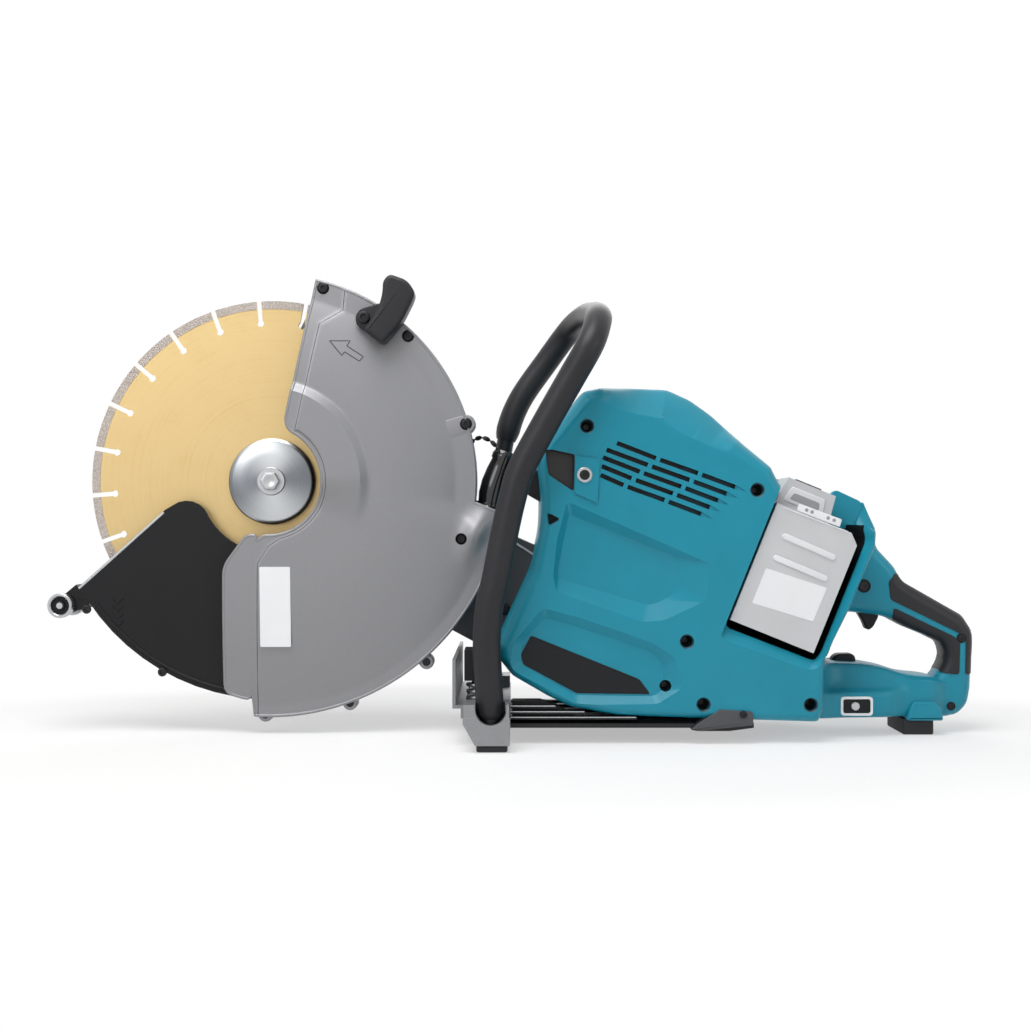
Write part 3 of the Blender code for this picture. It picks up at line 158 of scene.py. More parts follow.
def blank(name):
    """A new material with its tree, its Principled shader and the object's own coordinates."""
    made = bpy.data.materials.new(name)
    made.use_nodes = True
    tree = made.node_tree
    return made, tree, tree.nodes["Principled BSDF"], node(tree, "ShaderNodeTexCoord")


def waves_per_metre(size_mm):
    """The scale of a noise or wave whose features are about this many millimetres across."""
    return 1.0 / (size_mm * MM)


print(f"a feature of 2 mm repeats {waves_per_metre(2.0):.0f} times in a metre")


# %% [markdown]
# Moulded plastics and rubber. ABS and nylon leave the tool with a fine spark-eroded grain, so
# highlights are broad and soft. The grain is a low bump of noise that also breaks up the gloss, and
# a slower noise shifts the colour by a few per cent, as in real mouldings. Real grain is about
# 0.1 mm across, too fine to show at this size, so it is drawn five to twelve times as coarse.

# %% Moulded finishes
MOTTLE_MM = 45.0
GRAIN_HEIGHT = 0.2 * MM
GLOSS_SWING = 0.05
COAT_ROUGHNESS = 0.08


def moulded(name, hexcode, roughness, grain_mm=0.7, bump=0.12, tone=0.06, ior=1.5, coat=0.0):
    """A plastic or a rubber as it leaves its mould."""
    made, tree, shader, place = blank(name)
    grain = node(tree, "ShaderNodeTexNoise", [("Vector", place, "Object")],
                 Scale=waves_per_metre(grain_mm), Detail=3.0, Roughness=0.6)
    slow = node(tree, "ShaderNodeTexNoise", [("Vector", place, "Object")],
                Scale=waves_per_metre(MOTTLE_MM), Detail=4.0)
    colour = node(tree, "ShaderNodeValToRGB", [("Fac", slow, "Fac")])
    for stop, along, share in zip(colour.color_ramp.elements, (0.3, 0.7), (-tone, tone)):
        stop.position = along
        stop.color = shaded(hexcode, share)
    gloss = node(tree, "ShaderNodeMapRange", [("Value", grain, "Fac")],
                 To_Min=roughness - GLOSS_SWING, To_Max=roughness + GLOSS_SWING)
    relief = node(tree, "ShaderNodeBump", [("Height", grain, "Fac")], Strength=bump, Distance=GRAIN_HEIGHT)
    link(tree, shader, [("Base Color", colour, "Color"), ("Roughness", gloss, "Result"),
                        ("Normal", relief, "Normal")])
    shader.inputs["IOR"].default_value = ior
    shader.inputs["Coat Weight"].default_value = coat
    shader.inputs["Coat Roughness"].default_value = COAT_ROUGHNESS
    return made


# Satin teal: broad, soft highlights along the rounded edges
TEAL_ABS = moulded("moulded_teal_abs", "#17889f", 0.36, 0.8, 0.10, 0.04, ior=1.4)
# Dull black, hardly brighter where it faces the light
BLACK_NYLON = moulded("moulded_black_nylon", "#19191b", 0.46, 0.7, 0.15, ior=1.3)
# Black that mirrors the lamps in small, sharp patches
GLOSS_BLACK = moulded("polished_black_abs", "#141416", 0.14, 0.5, 0.03, coat=0.4)
# Soft black with a wide grey sheen, as hands leave it
SOFT_RUBBER = moulded("soft_black_elastomer", "#262629", 0.42, 0.6, 0.10, ior=1.35)
# Matt and grainy, with no highlight to speak of
FOOT_RUBBER = moulded("hard_black_rubber", "#1d1d1f", 0.7, 1.2, 0.3)
# Pale grey with a faint satin sheen
PALE_ABS = moulded("moulded_pale_grey_abs", "#c6c7c9", 0.42, 0.8, 0.08, 0.03)
# Even white, smoother than the plastic round it
WHITE_PRINT = moulded("white_vinyl_film", "#e9eaec", 0.35, 0.9, 0.04, 0.02)
# Even charcoal, smooth and without depth
DARK_PLATE = moulded("charcoal_vinyl_film", "#1b1c1f", 0.42, 0.9, 0.05, ior=1.3)
# Painted shade: nearly black, as where no light comes back from a hole
PAINTED_HOLE_SHADE = moulded("shadowed_hole", "#0b0d0f", 0.7, 1.0, 0.02, ior=1.2)
print("moulded finishes:", [m.name for m in bpy.data.materials])


# %% [markdown]
# Metals. The guard is cast aluminium under a silver paint with fine flake, the yoke is bare
# casting, the flanges are turned steel. A turned face shows rings from the tool, and the rings
# spread a lamp's highlight into a bow-tie glint, as on the flange. That glint is painted highlight:
# a change of colour with the angle round the axis, over rings of noise.

# %% Cast, painted and plated metals
# Paint flake is far finer than this, and is drawn as coarse as it needs to show
FLAKE_MM = 0.6
CAST_HEIGHT = 0.3 * MM
CAST_GLOSS_SWING = 0.07


def cast(name, hexcode, roughness, metallic, grain_mm, bump, flake=0.05):
    """A casting, or a metal under paint or plating, with specks and a low grain."""
    made, tree, shader, place = blank(name)
    grain = node(tree, "ShaderNodeTexNoise", [("Vector", place, "Object")],
                 Scale=waves_per_metre(grain_mm), Detail=5.0, Roughness=0.65)
    speck = node(tree, "ShaderNodeTexVoronoi", [("Vector", place, "Object")], Scale=waves_per_metre(FLAKE_MM))
    colour = node(tree, "ShaderNodeValToRGB", [("Fac", speck, "Color")])
    for stop, share in zip(colour.color_ramp.elements, (-flake, flake)):
        stop.color = shaded(hexcode, share)
    gloss = node(tree, "ShaderNodeMapRange", [("Value", grain, "Fac")],
                 To_Min=roughness - CAST_GLOSS_SWING, To_Max=roughness + CAST_GLOSS_SWING)
    relief = node(tree, "ShaderNodeBump", [("Height", grain, "Fac")], Strength=bump, Distance=CAST_HEIGHT)
    link(tree, shader, [("Base Color", colour, "Color"), ("Roughness", gloss, "Result"),
                        ("Normal", relief, "Normal")])
    shader.inputs["Metallic"].default_value = metallic
    return made


# Mid grey that brightens softly where the sheet turns up
SILVER_PAINT = cast("silver_painted_aluminium", "#8c8c8f", 0.42, 0.55, 2.2, 0.03, 0.05)
# Rough grey, mottled by the sand of the mould
BARE_CAST = cast("sand_cast_aluminium", "#8f9092", 0.5, 0.75, 1.6, 0.25, 0.10)
# Dark grey with a dull, uneven sheen
DARK_CAST = cast("dark_painted_casting", "#4a4a4d", 0.52, 0.3, 1.8, 0.22, 0.08)
# Nearly black, with narrow highlights along bends
BLACK_STEEL = cast("black_coated_steel", "#1c1c1e", 0.38, 0.35, 1.4, 0.10, 0.08)
# Bright, cool grey that mirrors its surroundings softly
ZINC_STEEL = cast("zinc_plated_steel", "#b9bbbd", 0.32, 0.95, 1.2, 0.08, 0.06)
# Oily black with a metal's highlight
BOLT_STEEL = cast("black_oxide_screw_steel", "#2a2a2c", 0.36, 0.7, 0.9, 0.08)
# Brown wire under lacquer, broken into strands
WOUND_COPPER = cast("enamelled_copper_winding", "#8f5a32", 0.4, 0.8, 1.5, 0.3, 0.2)
print("metals:", len(bpy.data.materials), "finishes so far")


# %% Turned steel
PAINTED_GLINT_TURN = math.radians(100)
RING_SHARE = 0.8
RING_HEIGHT = 0.2 * MM


def tool_rings(tree, place, pitch_mm, **noise):
    """Places about the disc's axis, and noise that changes only with the distance from it."""
    moved = node(tree, "ShaderNodeVectorMath", [("Vector", place, "Object")], [(1, tuple(DISC))],
                 operation="SUBTRACT")
    flat = node(tree, "ShaderNodeVectorMath", [("Vector", moved, "Vector")], [(1, (1, 0, 1))],
                operation="MULTIPLY")
    reach = node(tree, "ShaderNodeVectorMath", [("Vector", flat, "Vector")], operation="LENGTH")
    rings = node(tree, "ShaderNodeTexNoise", [("W", reach, "Value")], noise_dimensions="1D",
                 Scale=waves_per_metre(pitch_mm), **noise)
    return moved, rings


def turned(name, bright, dark, roughness, pitch_mm, bump):
    """Metal faced on a lathe about the disc's axis, with painted highlight above and below it."""
    made, tree, shader, place = blank(name)
    moved, rings = tool_rings(tree, place, pitch_mm, Detail=4.0)
    # Painted highlight: the colour turns bright and dark with the angle round the axis
    axes = node(tree, "ShaderNodeSeparateXYZ", [("Vector", moved, "Vector")])
    turn = node(tree, "ShaderNodeMath", [(0, axes, "Z"), (1, axes, "X")], operation="ARCTAN2")
    twice = node(tree, "ShaderNodeMath", [(0, turn, "Value")], [(1, 2.0), (2, -2 * PAINTED_GLINT_TURN)],
                 operation="MULTIPLY_ADD")
    glint = node(tree, "ShaderNodeMath", [(0, twice, "Value")], operation="COSINE")
    uneven = node(tree, "ShaderNodeMath", [(0, rings, "Fac"), (2, glint, "Value")], [(1, RING_SHARE)],
                  operation="MULTIPLY_ADD")
    level = node(tree, "ShaderNodeMapRange", [("Value", uneven, "Value")], From_Min=-0.6, From_Max=1.6)
    sheen = node(tree, "ShaderNodeValToRGB", [("Fac", level, "Result")])
    for stop, hexcode in zip(sheen.color_ramp.elements, (dark, bright)):
        stop.color = linear(hexcode)
    relief = node(tree, "ShaderNodeBump", [("Height", rings, "Fac")], Strength=bump, Distance=RING_HEIGHT)
    tangent = node(tree, "ShaderNodeTangent", direction_type="RADIAL", axis="Y")
    link(tree, shader, [("Base Color", sheen, "Color"), ("Normal", relief, "Normal"),
                        ("Tangent", tangent, "Tangent")])
    shader.inputs["Metallic"].default_value = 1.0
    shader.inputs["Roughness"].default_value = roughness
    shader.inputs["Anisotropic"].default_value = 0.6
    return made


# Steel with a painted bow-tie highlight and fine rings
FLANGE_STEEL = turned("turned_flange_steel_painted_glint", "#d0d3d6", "#777b80", 0.30, 0.7, 0.12)
print("turned steel:", FLANGE_STEEL.name)


# %% [markdown]
# The disc. Its steel core is lacquered in satin gold, with fine rings left by grinding. The rim
# carries sintered segments full of grit: matt, grey and speckled. The core's finish is therefore a
# function of the distance from the axis, and the segments are pieces of their own.

# %% Disc finishes
GRINDING_MM = 2.5
CLOUD_MM = 30.0
GRIT_MM = 0.9
GRIT_HEIGHT = 0.6 * MM


def gold_core():
    """Lacquered steel: a warm satin that changes little over the disc, with faint rings."""
    made, tree, shader, place = blank("gold_lacquered_disc_core")
    rings = tool_rings(tree, place, GRINDING_MM, Detail=6.0, Roughness=0.7)[1]
    cloud = node(tree, "ShaderNodeTexNoise", [("Vector", place, "Object")],
                 Scale=waves_per_metre(CLOUD_MM), Detail=6.0, Roughness=0.7)
    both = node(tree, "ShaderNodeMath", [(0, rings, "Fac"), (1, cloud, "Fac")], operation="ADD")
    colour = node(tree, "ShaderNodeValToRGB", [("Fac", both, "Value")])
    colour.color_ramp.elements[0].position = 0.75
    colour.color_ramp.elements[1].position = 1.25
    colour.color_ramp.elements[0].color = linear("#ceb27b")
    colour.color_ramp.elements[1].color = linear("#d3b882")
    relief = node(tree, "ShaderNodeBump", [("Height", rings, "Fac")], Strength=0.06, Distance=RING_HEIGHT)
    link(tree, shader, [("Base Color", colour, "Color"), ("Normal", relief, "Normal")])
    shader.inputs["Metallic"].default_value = 0.55
    shader.inputs["Roughness"].default_value = 0.42
    return made


def grit():
    """Sintered metal full of grit: a dull, rough speckle."""
    made, tree, shader, place = blank("sintered_segment_grit")
    grains = node(tree, "ShaderNodeTexVoronoi", [("Vector", place, "Object")], Scale=waves_per_metre(GRIT_MM))
    colour = node(tree, "ShaderNodeValToRGB", [("Fac", grains, "Color")])
    for stop, hexcode in zip(colour.color_ramp.elements, ("#9c9189", "#d2c9c1")):
        stop.color = linear(hexcode)
    relief = node(tree, "ShaderNodeBump", [("Height", grains, "Distance")],
                  Strength=0.7, Distance=GRIT_HEIGHT)
    link(tree, shader, [("Base Color", colour, "Color"), ("Normal", relief, "Normal")])
    shader.inputs["Roughness"].default_value = 0.7
    shader.inputs["Metallic"].default_value = 0.2
    return made


GOLD_CORE = gold_core()
GRIT = grit()
print("disc finishes:", GOLD_CORE.name, GRIT.name)


# %% [markdown]
# Outlines. Most pieces start as an outline in x and z, the plane of the photograph. It can be drawn
# in by a distance and have its corners rounded, so one outline serves for a rim, a floor and an edge.

# %% Outline helpers
def arc(radius, start, end, count, centre=(0.0, 0.0)):
    """Points on an arc between two angles in degrees, both ends included."""
    angles = [math.radians(start + (end - start) * i / count) for i in range(count + 1)]
    return [(centre[0] + radius * math.cos(a), centre[1] + radius * math.sin(a)) for a in angles]


def circle(radius, centre):
    """A closed round outline of 24 points."""
    return arc(radius, 0, 345, 23, centre)


def inset(outline, distance):
    """The outline drawn in by a distance."""
    count = len(outline)
    pairs = [(outline[i], outline[(i + 1) % count]) for i in range(count)]
    side = 1.0 if sum(a[0] * b[1] - b[0] * a[1] for a, b in pairs) > 0 else -1.0
    drawn = []
    for i in range(count):
        here = Vector(outline[i])
        into = (here - Vector(outline[i - 1])).normalized()
        out = (Vector(outline[(i + 1) % count]) - here).normalized()
        normal = Vector((-into.y - out.y, into.x + out.x)).normalized() * side
        spread = max(0.5, normal.dot(Vector((-into.y, into.x)) * side))
        moved = here + normal * (distance / spread)
        drawn.append((moved.x, moved.y))
    return drawn


def rounded(outline, radius, steps=4):
    """The outline with each corner replaced by a small arc."""
    drawn = []
    count = len(outline)
    for i in range(count):
        here = Vector(outline[i])
        back = Vector(outline[i - 1]) - here
        ahead = Vector(outline[(i + 1) % count]) - here
        reach = min(radius, back.length * 0.45, ahead.length * 0.45)
        a = here + back.normalized() * reach
        b = here + ahead.normalized() * reach
        for k in range(steps + 1):
            t = k / steps
            p = a * (1 - t) ** 2 + here * 2 * t * (1 - t) + b * t * t
            drawn.append((p.x, p.y))
    return drawn


def capsule(a, b, radius, steps=6):
    """A slot's outline: two points joined by a band with round ends."""
    heading = math.degrees(math.atan2(b[1] - a[1], b[0] - a[0]))
    start = arc(radius, heading + 90, heading + 270, steps, a)
    return [*start, *arc(radius, heading - 90, heading + 90, steps, b)]


print("a triangle with rounded corners has", len(rounded([(0, 0), (9, 0), (0, 9)], 2.0)), "points")


# %% [markdown]
# Solids from outlines. Rings of equal count are joined into a closed skin. Everything below is a
# kind of loft: a slab, a slab with rounded edges, a turned profile, a tube along a path.

# %% Loft helpers
def lofted(rings, closed_path=False):
    """Points and faces through rings of equal count, capped unless the path closes on itself."""
    count = len(rings[0])
    points = [p for ring in rings for p in ring]
    faces = []
    last = len(rings) if closed_path else len(rings) - 1
    for k in range(last):
        a = k * count
        b = ((k + 1) % len(rings)) * count
        faces += [(a + i, a + (i + 1) % count, b + (i + 1) % count, b + i) for i in range(count)]
    if not closed_path:
        faces.append(tuple(range(count)))
        end = (len(rings) - 1) * count
        faces.append(tuple(range(end + count - 1, end - 1, -1)))
    return points, faces


def layered(levels, side=1):
    """A solid through (outline, y) levels of equal count, on one side of the saw."""
    return lofted([[(x, side * y, z) for x, z in outline] for outline, y in levels])


def slab(outline, near, far):
    """An outline in x and z between two depths."""
    return layered([(outline, near), (outline, far)])


def crowned(outline, near, far, edge, steps=4):
    """A slab whose two long edges are rounded over by a radius."""
    turns = [math.pi / 2 * i / steps for i in range(steps + 1)]
    rows = [(inset(outline, edge * (1 - math.sin(a))), edge * (1 - math.cos(a))) for a in turns]
    levels = [(drawn, near + sunk) for drawn, sunk in rows]
    return layered([*levels, *[(drawn, far - sunk) for drawn, sunk in reversed(rows)]])


def lathe(profile, centre=(0.0, 0.0), count=64):
    """A closed (radius, y) profile turned about an axis along y."""
    rings = []
    for i in range(count):
        a = 2 * math.pi * i / count
        rings.append([(centre[0] + r * math.cos(a), y, centre[1] + r * math.sin(a)) for r, y in profile])
    return lofted(rings, closed_path=True)


def joined(solids):
    """Several closed meshes as one list of points and faces."""
    points = []
    faces = []
    for some_points, some_faces in solids:
        start = len(points)
        points += some_points
        faces += [tuple(start + i for i in face) for face in some_faces]
    return points, faces


def smooth_path(points, steps):
    """A smooth curve through the points."""
    ends = [points[0] * 2 - points[1], *points, points[-1] * 2 - points[-2]]
    curve = []
    for a, b, c, d in zip(ends, ends[1:], ends[2:], ends[3:]):
        for i in range(steps):
            t = i / steps
            square = (a * 2 - b * 5 + c * 4 - d) * t * t
            cube = (b * 3 - a - c * 3 + d) * t * t * t
            curve.append((b * 2 + (c - a) * t + square + cube) * 0.5)
    return [*curve, points[-1]]


def heading_at(path, i):
    """The way that a path runs at one of its points."""
    return (path[min(i + 1, len(path) - 1)] - path[max(i - 1, 0)]).normalized()


def tube(path, radii, sides=24):
    """Rings along a path, one radius for each point, with closed ends."""
    turns = [2 * math.pi * k / sides for k in range(sides)]
    rings = []
    side = None
    for i, point in enumerate(path):
        ahead = heading_at(path, i)
        guess = side if side is not None else ahead.orthogonal()
        side = (guess - ahead * guess.dot(ahead)).normalized()
        up = ahead.cross(side)
        rings.append([tuple(point + (side * math.cos(a) + up * math.sin(a)) * radii[i]) for a in turns])
    return lofted(rings)


def line_on(path, radius, sides=8):
    """A thin tube along a path of places."""
    return tube([Vector(p) for p in path], [radius] * len(path), sides)


def bead(line, y, radius, sides=8):
    """A thin tube along a line of x and z points, all at one depth."""
    return line_on([(x, y, z) for x, z in line], radius, sides)


print("a slab of a triangle has", len(slab([(0, 0), (9, 0), (0, 9)], 0, 1)[1]), "faces")


# %% [markdown]
# Pieces. A piece is made from points in millimetres, gets one material, and rides on the body that
# carries it. Cutting tools are meshes that are used once and thrown away. A solid that is carried
# over keeps its mesh, and gets a finish and small edge radii.

# %% Pieces, cuts and kept solids
SHARP = 35.0
BEVEL_FROM = 40.0


def filled(name, points, faces):
    """A mesh from points in millimetres."""
    mesh = bpy.data.meshes.new(name)
    mesh.from_pydata([at(*p) for p in points], [], faces)
    return mesh


def turn_outwards(mesh):
    """Turns the faces of a closed mesh outwards."""
    bm = bmesh.new()
    bm.from_mesh(mesh)
    bmesh.ops.recalc_face_normals(bm, faces=bm.faces)
    bm.to_mesh(mesh)
    bm.free()


def smooth_shade(mesh, angle=SHARP):
    """Smooth shading, apart from edges sharper than an angle in degrees."""
    mesh.shade_smooth()
    mesh.set_sharp_from_angle(angle=math.radians(angle))


def piece(name, points, faces, finish, body, slot, smooth=SHARP):
    """One visible piece from points in millimetres, riding on a body of the model."""
    mesh = filled(name, points, faces)
    turn_outwards(mesh)
    mesh.materials.append(finish)
    smooth_shade(mesh, smooth)
    made = bpy.data.objects.new(name, mesh)
    bpy.context.scene.collection.objects.link(made)
    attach(made, body)
    return made


def cut(target, solids, operation="DIFFERENCE"):
    """Cuts (points, faces, finish) solids from a piece in one go. A finish is what the cut faces get."""
    finishes = target.data.materials
    for finish in dict.fromkeys(solid[2] for solid in solids if solid[2]):
        finishes.append(finish)
    mesh = filled("tool", *joined([solid[:2] for solid in solids]))
    for finish in finishes:
        mesh.materials.append(finish)
    slots = [max(0, finishes.find(finish.name)) if finish else 0 for _, made, finish in solids for _ in made]
    mesh.polygons.foreach_set("material_index", slots)
    turn_outwards(mesh)
    tool = bpy.data.objects.new("tool", mesh)
    bpy.context.scene.collection.objects.link(tool)
    work = target.modifiers.new("cut", "BOOLEAN")
    work.operation = operation
    work.object = tool
    bpy.context.view_layer.update()
    graph = bpy.context.evaluated_depsgraph_get()
    baked = bpy.data.meshes.new_from_object(target.evaluated_get(graph))
    target.modifiers.clear()
    target.data = baked
    bpy.data.objects.remove(tool)
    smooth_shade(target.data)
    return target


def edge_radius(target, width_mm):
    """The small radius that a mould or a casting leaves on hard edges."""
    edge = target.modifiers.new("edge_radius", "BEVEL")
    edge.width = width_mm * MM
    edge.segments = 3
    edge.limit_method = "ANGLE"
    edge.angle_limit = math.radians(BEVEL_FROM)


def finish_node(name, finish, bevel):
    """Gives a carried-over solid its finish and, where it has hard edges, a small radius."""
    solid = NODES[name]
    solid.data.materials.clear()
    solid.data.materials.append(finish)
    smooth_shade(solid.data)
    if bevel > 0:
        edge_radius(solid, bevel)


print("edges sharper than", SHARP, "degrees stay sharp")


# %% [markdown]
# Screws and holes. A socket screw is a stack of rings: the round head, its crowned edge, and a
# six-sided socket sunk into it. Rings of equal count join up, so the hexagon is drawn with as many
# points as the circle. A well for a screw is cut with a stack of outlines that widens at its mouth.

# %% Screws and holes
SCREW_POINTS = 48
SCREW_TURNS = [2 * math.pi * k / SCREW_POINTS for k in range(SCREW_POINTS)]
HEAD_SUNK = 0.6
CUTTER_ABOVE = 9.0


def round_ring(centre, radius, y):
    """A circle at a depth."""
    return [(centre[0] + radius * math.cos(a), y, centre[1] + radius * math.sin(a)) for a in SCREW_TURNS]


def six_sided(centre, radius, y):
    """A hexagon with as many points as a round ring."""
    points = []
    for a in SCREW_TURNS:
        reach = radius * math.cos(math.pi / 6) / math.cos(a % (math.pi / 3) - math.pi / 6)
        points.append((centre[0] + reach * math.cos(a), y, centre[1] + reach * math.sin(a)))
    return points


def socket_head(centre, face, radius, height, out=-1):
    """A screw head standing on a face, towards the viewer unless out is 1."""
    top = face + out * height
    return lofted([
        round_ring(centre, radius, face - out * HEAD_SUNK),
        round_ring(centre, radius, face + out * height * 0.5),
        round_ring(centre, radius * 0.93, face + out * height * 0.85),
        round_ring(centre, radius * 0.76, top),
        six_sided(centre, radius * 0.54, top),
        six_sided(centre, radius * 0.47, top - out * height * 0.75),
    ])


def socket_heads(centres, face, radius, height, out=-1):
    """Several equal screw heads on one face."""
    return joined([socket_head(centre, face, radius, height, out) for centre in centres])


def well(outline, side, face, floor, lip=0.0):
    """A cutting tool for a pocket with a rounded mouth, in from a face at one side of the saw."""
    levels = [(lip, face + CUTTER_ABOVE), (0.0, floor)]
    if lip > 0:
        levels[1:1] = [(lip, face), (lip * 0.35, face - lip * 0.45), (0.0, face - lip)]
    return layered([(inset(outline, -grow), y) for grow, y in levels], side)


print("a screw head has", len(socket_head((0.0, 0.0), 0.0, 4.0, 2.0)[0]), "points")


# %% [markdown]
# The motor body is two moulded half shells. A plain solid can't show the shallow panels that the
# mould gives each side, so each half is drawn as a skin: rings run from the outline to the middle,
# and every point gets its depth from how far it lies inside the outline. A panel is then cut in:
# it is given by two outlines, its rim and its floor, and the wall between them is a ramp.

# %% Distances that shape the skins
NEVER = 1e9
TINY = 1e-9


def edge_distance(points, outline):
    """How far each point lies inside a closed outline, negative outside, and the nearest corner."""
    points = np.asarray(points, float)
    corners = np.asarray(outline, float)
    least = np.full(len(points), NEVER)
    nearest = np.zeros(len(points))
    inside = np.zeros(len(points), bool)
    for i in range(len(corners)):
        a = corners[i]
        b = corners[(i + 1) % len(corners)]
        along = b - a
        share = np.clip(((points - a) @ along) / max(TINY, along @ along), 0, 1)
        far = np.linalg.norm(points - a - share[:, None] * along, axis=1)
        nearest = np.where(far < least, i + share, nearest)
        least = np.minimum(least, far)
        spans = (a[1] > points[:, 1]) != (b[1] > points[:, 1])
        rise = b[1] - a[1] if abs(b[1] - a[1]) > TINY else TINY
        cross = (points[:, 1] - a[1]) / rise * along[0] + a[0]
        inside ^= spans & (points[:, 0] < cross)
    return np.where(inside, least, -least), nearest


def evenly(outline, count):
    """Points at equal steps round a closed outline."""
    corners = np.asarray([*outline, outline[0]], float)
    steps = np.linalg.norm(np.diff(corners, axis=0), axis=1)
    reach = np.concatenate([[0], np.cumsum(steps)])
    wanted = np.linspace(0, reach[-1], count, endpoint=False)
    x = np.interp(wanted, reach, corners[:, 0])
    z = np.interp(wanted, reach, corners[:, 1])
    return np.column_stack([x, z])


UNIT_SQUARE = [(0, 0), (1, 0), (1, 1), (0, 1)]
print("the middle of a unit square lies", edge_distance([(0.5, 0.5)], UNIT_SQUARE)[0][0], "inside")


# %% Body skins
BODY_HALF = 82.0
BODY_CORNER = 9.0
BODY_MIDDLE = (400.0, -90.0)
# Each corner has its place in x and z, how far the rounding reaches in, and how far it drops.
# The last corners are the frame round the battery bay, which is moulded in one with the body.
BODY = [
    (262, 32, 12, 20), (259, 18, 10, 18), (263, -19, 10, 18), (262, -47, 10, 18), (254, -84, 12, 18),
    (234, -126, 12, 20), (222, -153, 10, 20), (224, -168, 9, 18), (236, -183, 9, 16), (269, -202, 9, 16),
    (290, -212, 9, 14), (336, -220, 8, 12), (432, -223, 7, 10), (521, -226, 8, 12), (527, -214, 9, 14),
    (526, -168, 6, 8), (549.8, -119.5, 5, 6), (573.5, -62, 5, 6), (574.5, -48, 6, 8), (564, -42, 6, 8),
    (487, -8, 8, 12), (478, 12, 11, 18), (453, 34, 18, 26), (424, 62, 32, 34), (405, 76, 35, 36),
    (383, 86, 31, 35), (347, 87, 25, 31), (320, 87, 18, 26), (302, 83, 14, 22),
]
BODY_LINE = [(x, z) for x, z, _, _ in BODY]
# A rounding that reaches in further than this turns into a flat facet
FACET_REACH = 20.0
FACET_BLEND = 8.0
FACET_MOST = 0.75
RING_COUNT = 100
RING_CROWD = 1.4
ROUND_COUNT = 600
HALF_GAP = 0.15


def body_depth(points):
    """How far each point of the face lies behind the outermost plane."""
    inside, corner = edge_distance(points, BODY_LINE)
    first = corner.astype(int) % len(BODY)
    second = (first + 1) % len(BODY)
    share = corner - corner.astype(int)
    reach = np.array([b[2] for b in BODY], float)
    drop = np.array([b[3] for b in BODY], float)
    edge = reach[first] * (1 - share) + reach[second] * share
    fall = drop[first] * (1 - share) + drop[second] * share
    t = np.clip(1 - np.maximum(inside, 0) / edge, 0, 1)
    rounding = 1 - np.sqrt(np.maximum(1 - t * t, 0))
    facet = np.clip((edge - FACET_REACH) / FACET_BLEND, 0, FACET_MOST)
    return fall * (rounding * (1 - facet) + t * facet)


def body_skin(name, side):
    """One half of the body, from its parting line to the middle of its side."""
    edge = evenly(rounded(BODY_LINE, BODY_CORNER), ROUND_COUNT)
    middle = np.array(BODY_MIDDLE)
    rings = [[(x, side * HALF_GAP, z) for x, z in edge]]
    for k in range(RING_COUNT):
        share = 1 - (k / RING_COUNT) ** RING_CROWD
        flat = middle + (edge - middle) * share
        depth = BODY_HALF - body_depth(flat)
        rings.append([(x, side * y, z) for (x, z), y in zip(flat, depth)])
    return piece(name, *lofted(rings), TEAL_ABS, "frame", "teal_plastic")


body_near = body_skin("body_skin_near", -1)
body_far = body_skin("body_skin_far", 1)
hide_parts("body_shell_near", "rear_housing")
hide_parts("body_shell_far")
print("body skins:", len(body_near.data.vertices), "points each")


# %% [markdown]
# Openings in the body. The vents are five rows of three slots that lean with the body, the screws
# sit deep in round wells, and the batteries stand in a bay with a rounded frame. All of them are
# cut in a few passes, because each cut through a fine skin takes seconds. Cut faces are painted
# with shade, a dim teal or a near black, so a slot reads as a dark hole from any side.

# %% Panels
UPPER_RIM = traced(-BODY_HALF, (567, 501.5), (711, 564), (706, 600.5), (664.5, 620.4), (643, 622),
                   (556.6, 592), (553, 577), (557, 540))
UPPER_FLOOR = traced(-BODY_HALF, (569, 514), (676, 556), (684, 589), (660, 603), (648, 605.5), (558, 578),
                     (557.5, 572), (564, 540))
LOW_RIM = traced(-BODY_HALF, (543, 608), (580, 618), (616, 630), (655, 644), (675, 658), (683, 688),
                 (658, 704), (575, 705), (508, 671), (514, 642))
LOW_FLOOR = traced(-BODY_HALF, (545, 618), (580, 628), (616, 640), (653, 653), (664, 666), (664, 690),
                   (655, 697), (575, 696), (521, 664), (523, 640))
UPPER_SINK = 8.0
LOW_SINK = 6.5
PANEL_CORNER = 4.0
RAMP_ABOVE = 6.0


def ramped(rim, floor, side, sink):
    """A cutting tool for a panel whose wall runs from a rim on the face to a floor below it."""
    rims = rounded(rim, PANEL_CORNER, 3)
    floors = rounded(floor, PANEL_CORNER, 3)
    return layered([(rims, BODY_HALF + RAMP_ABOVE), (rims, BODY_HALF), (floors, BODY_HALF - sink)], side)


for skin, side in ((body_near, -1), (body_far, 1)):
    upper_panel = ramped(UPPER_RIM, UPPER_FLOOR, side, UPPER_SINK)
    lower_panel = ramped(LOW_RIM, LOW_FLOOR, side, LOW_SINK)
    cut(skin, [(*upper_panel, None), (*lower_panel, None)])
print("panels:", UPPER_SINK, "and", LOW_SINK, "mm deep")


# %% Vent slots
VENT_START = traced(-BODY_HALF, (617, 443), (606.6, 449.7), (603, 457.4), (601.8, 466.2), (600.6, 475.1))
VENT_TOP_BREAKS = traced(-BODY_HALF, (658, 459), (700, 474), (735, 487))
VENT_LOW_BREAKS = traced(-BODY_HALF, (625.6, 486), (666.6, 501), (701, 514))
VENT_BAR = 4.2
VENT_HALF = 2.1
VENT_TRAIL = 11.0
TRAIL_START = 0.3


def oblong(a, b, half):
    """A slot's outline with square ends."""
    aside = Vector((a[1] - b[1], b[0] - a[0])).normalized() * half
    return [tuple(Vector(p) + way) for p, way in ((a, -aside), (b, -aside), (b, aside), (a, aside))]


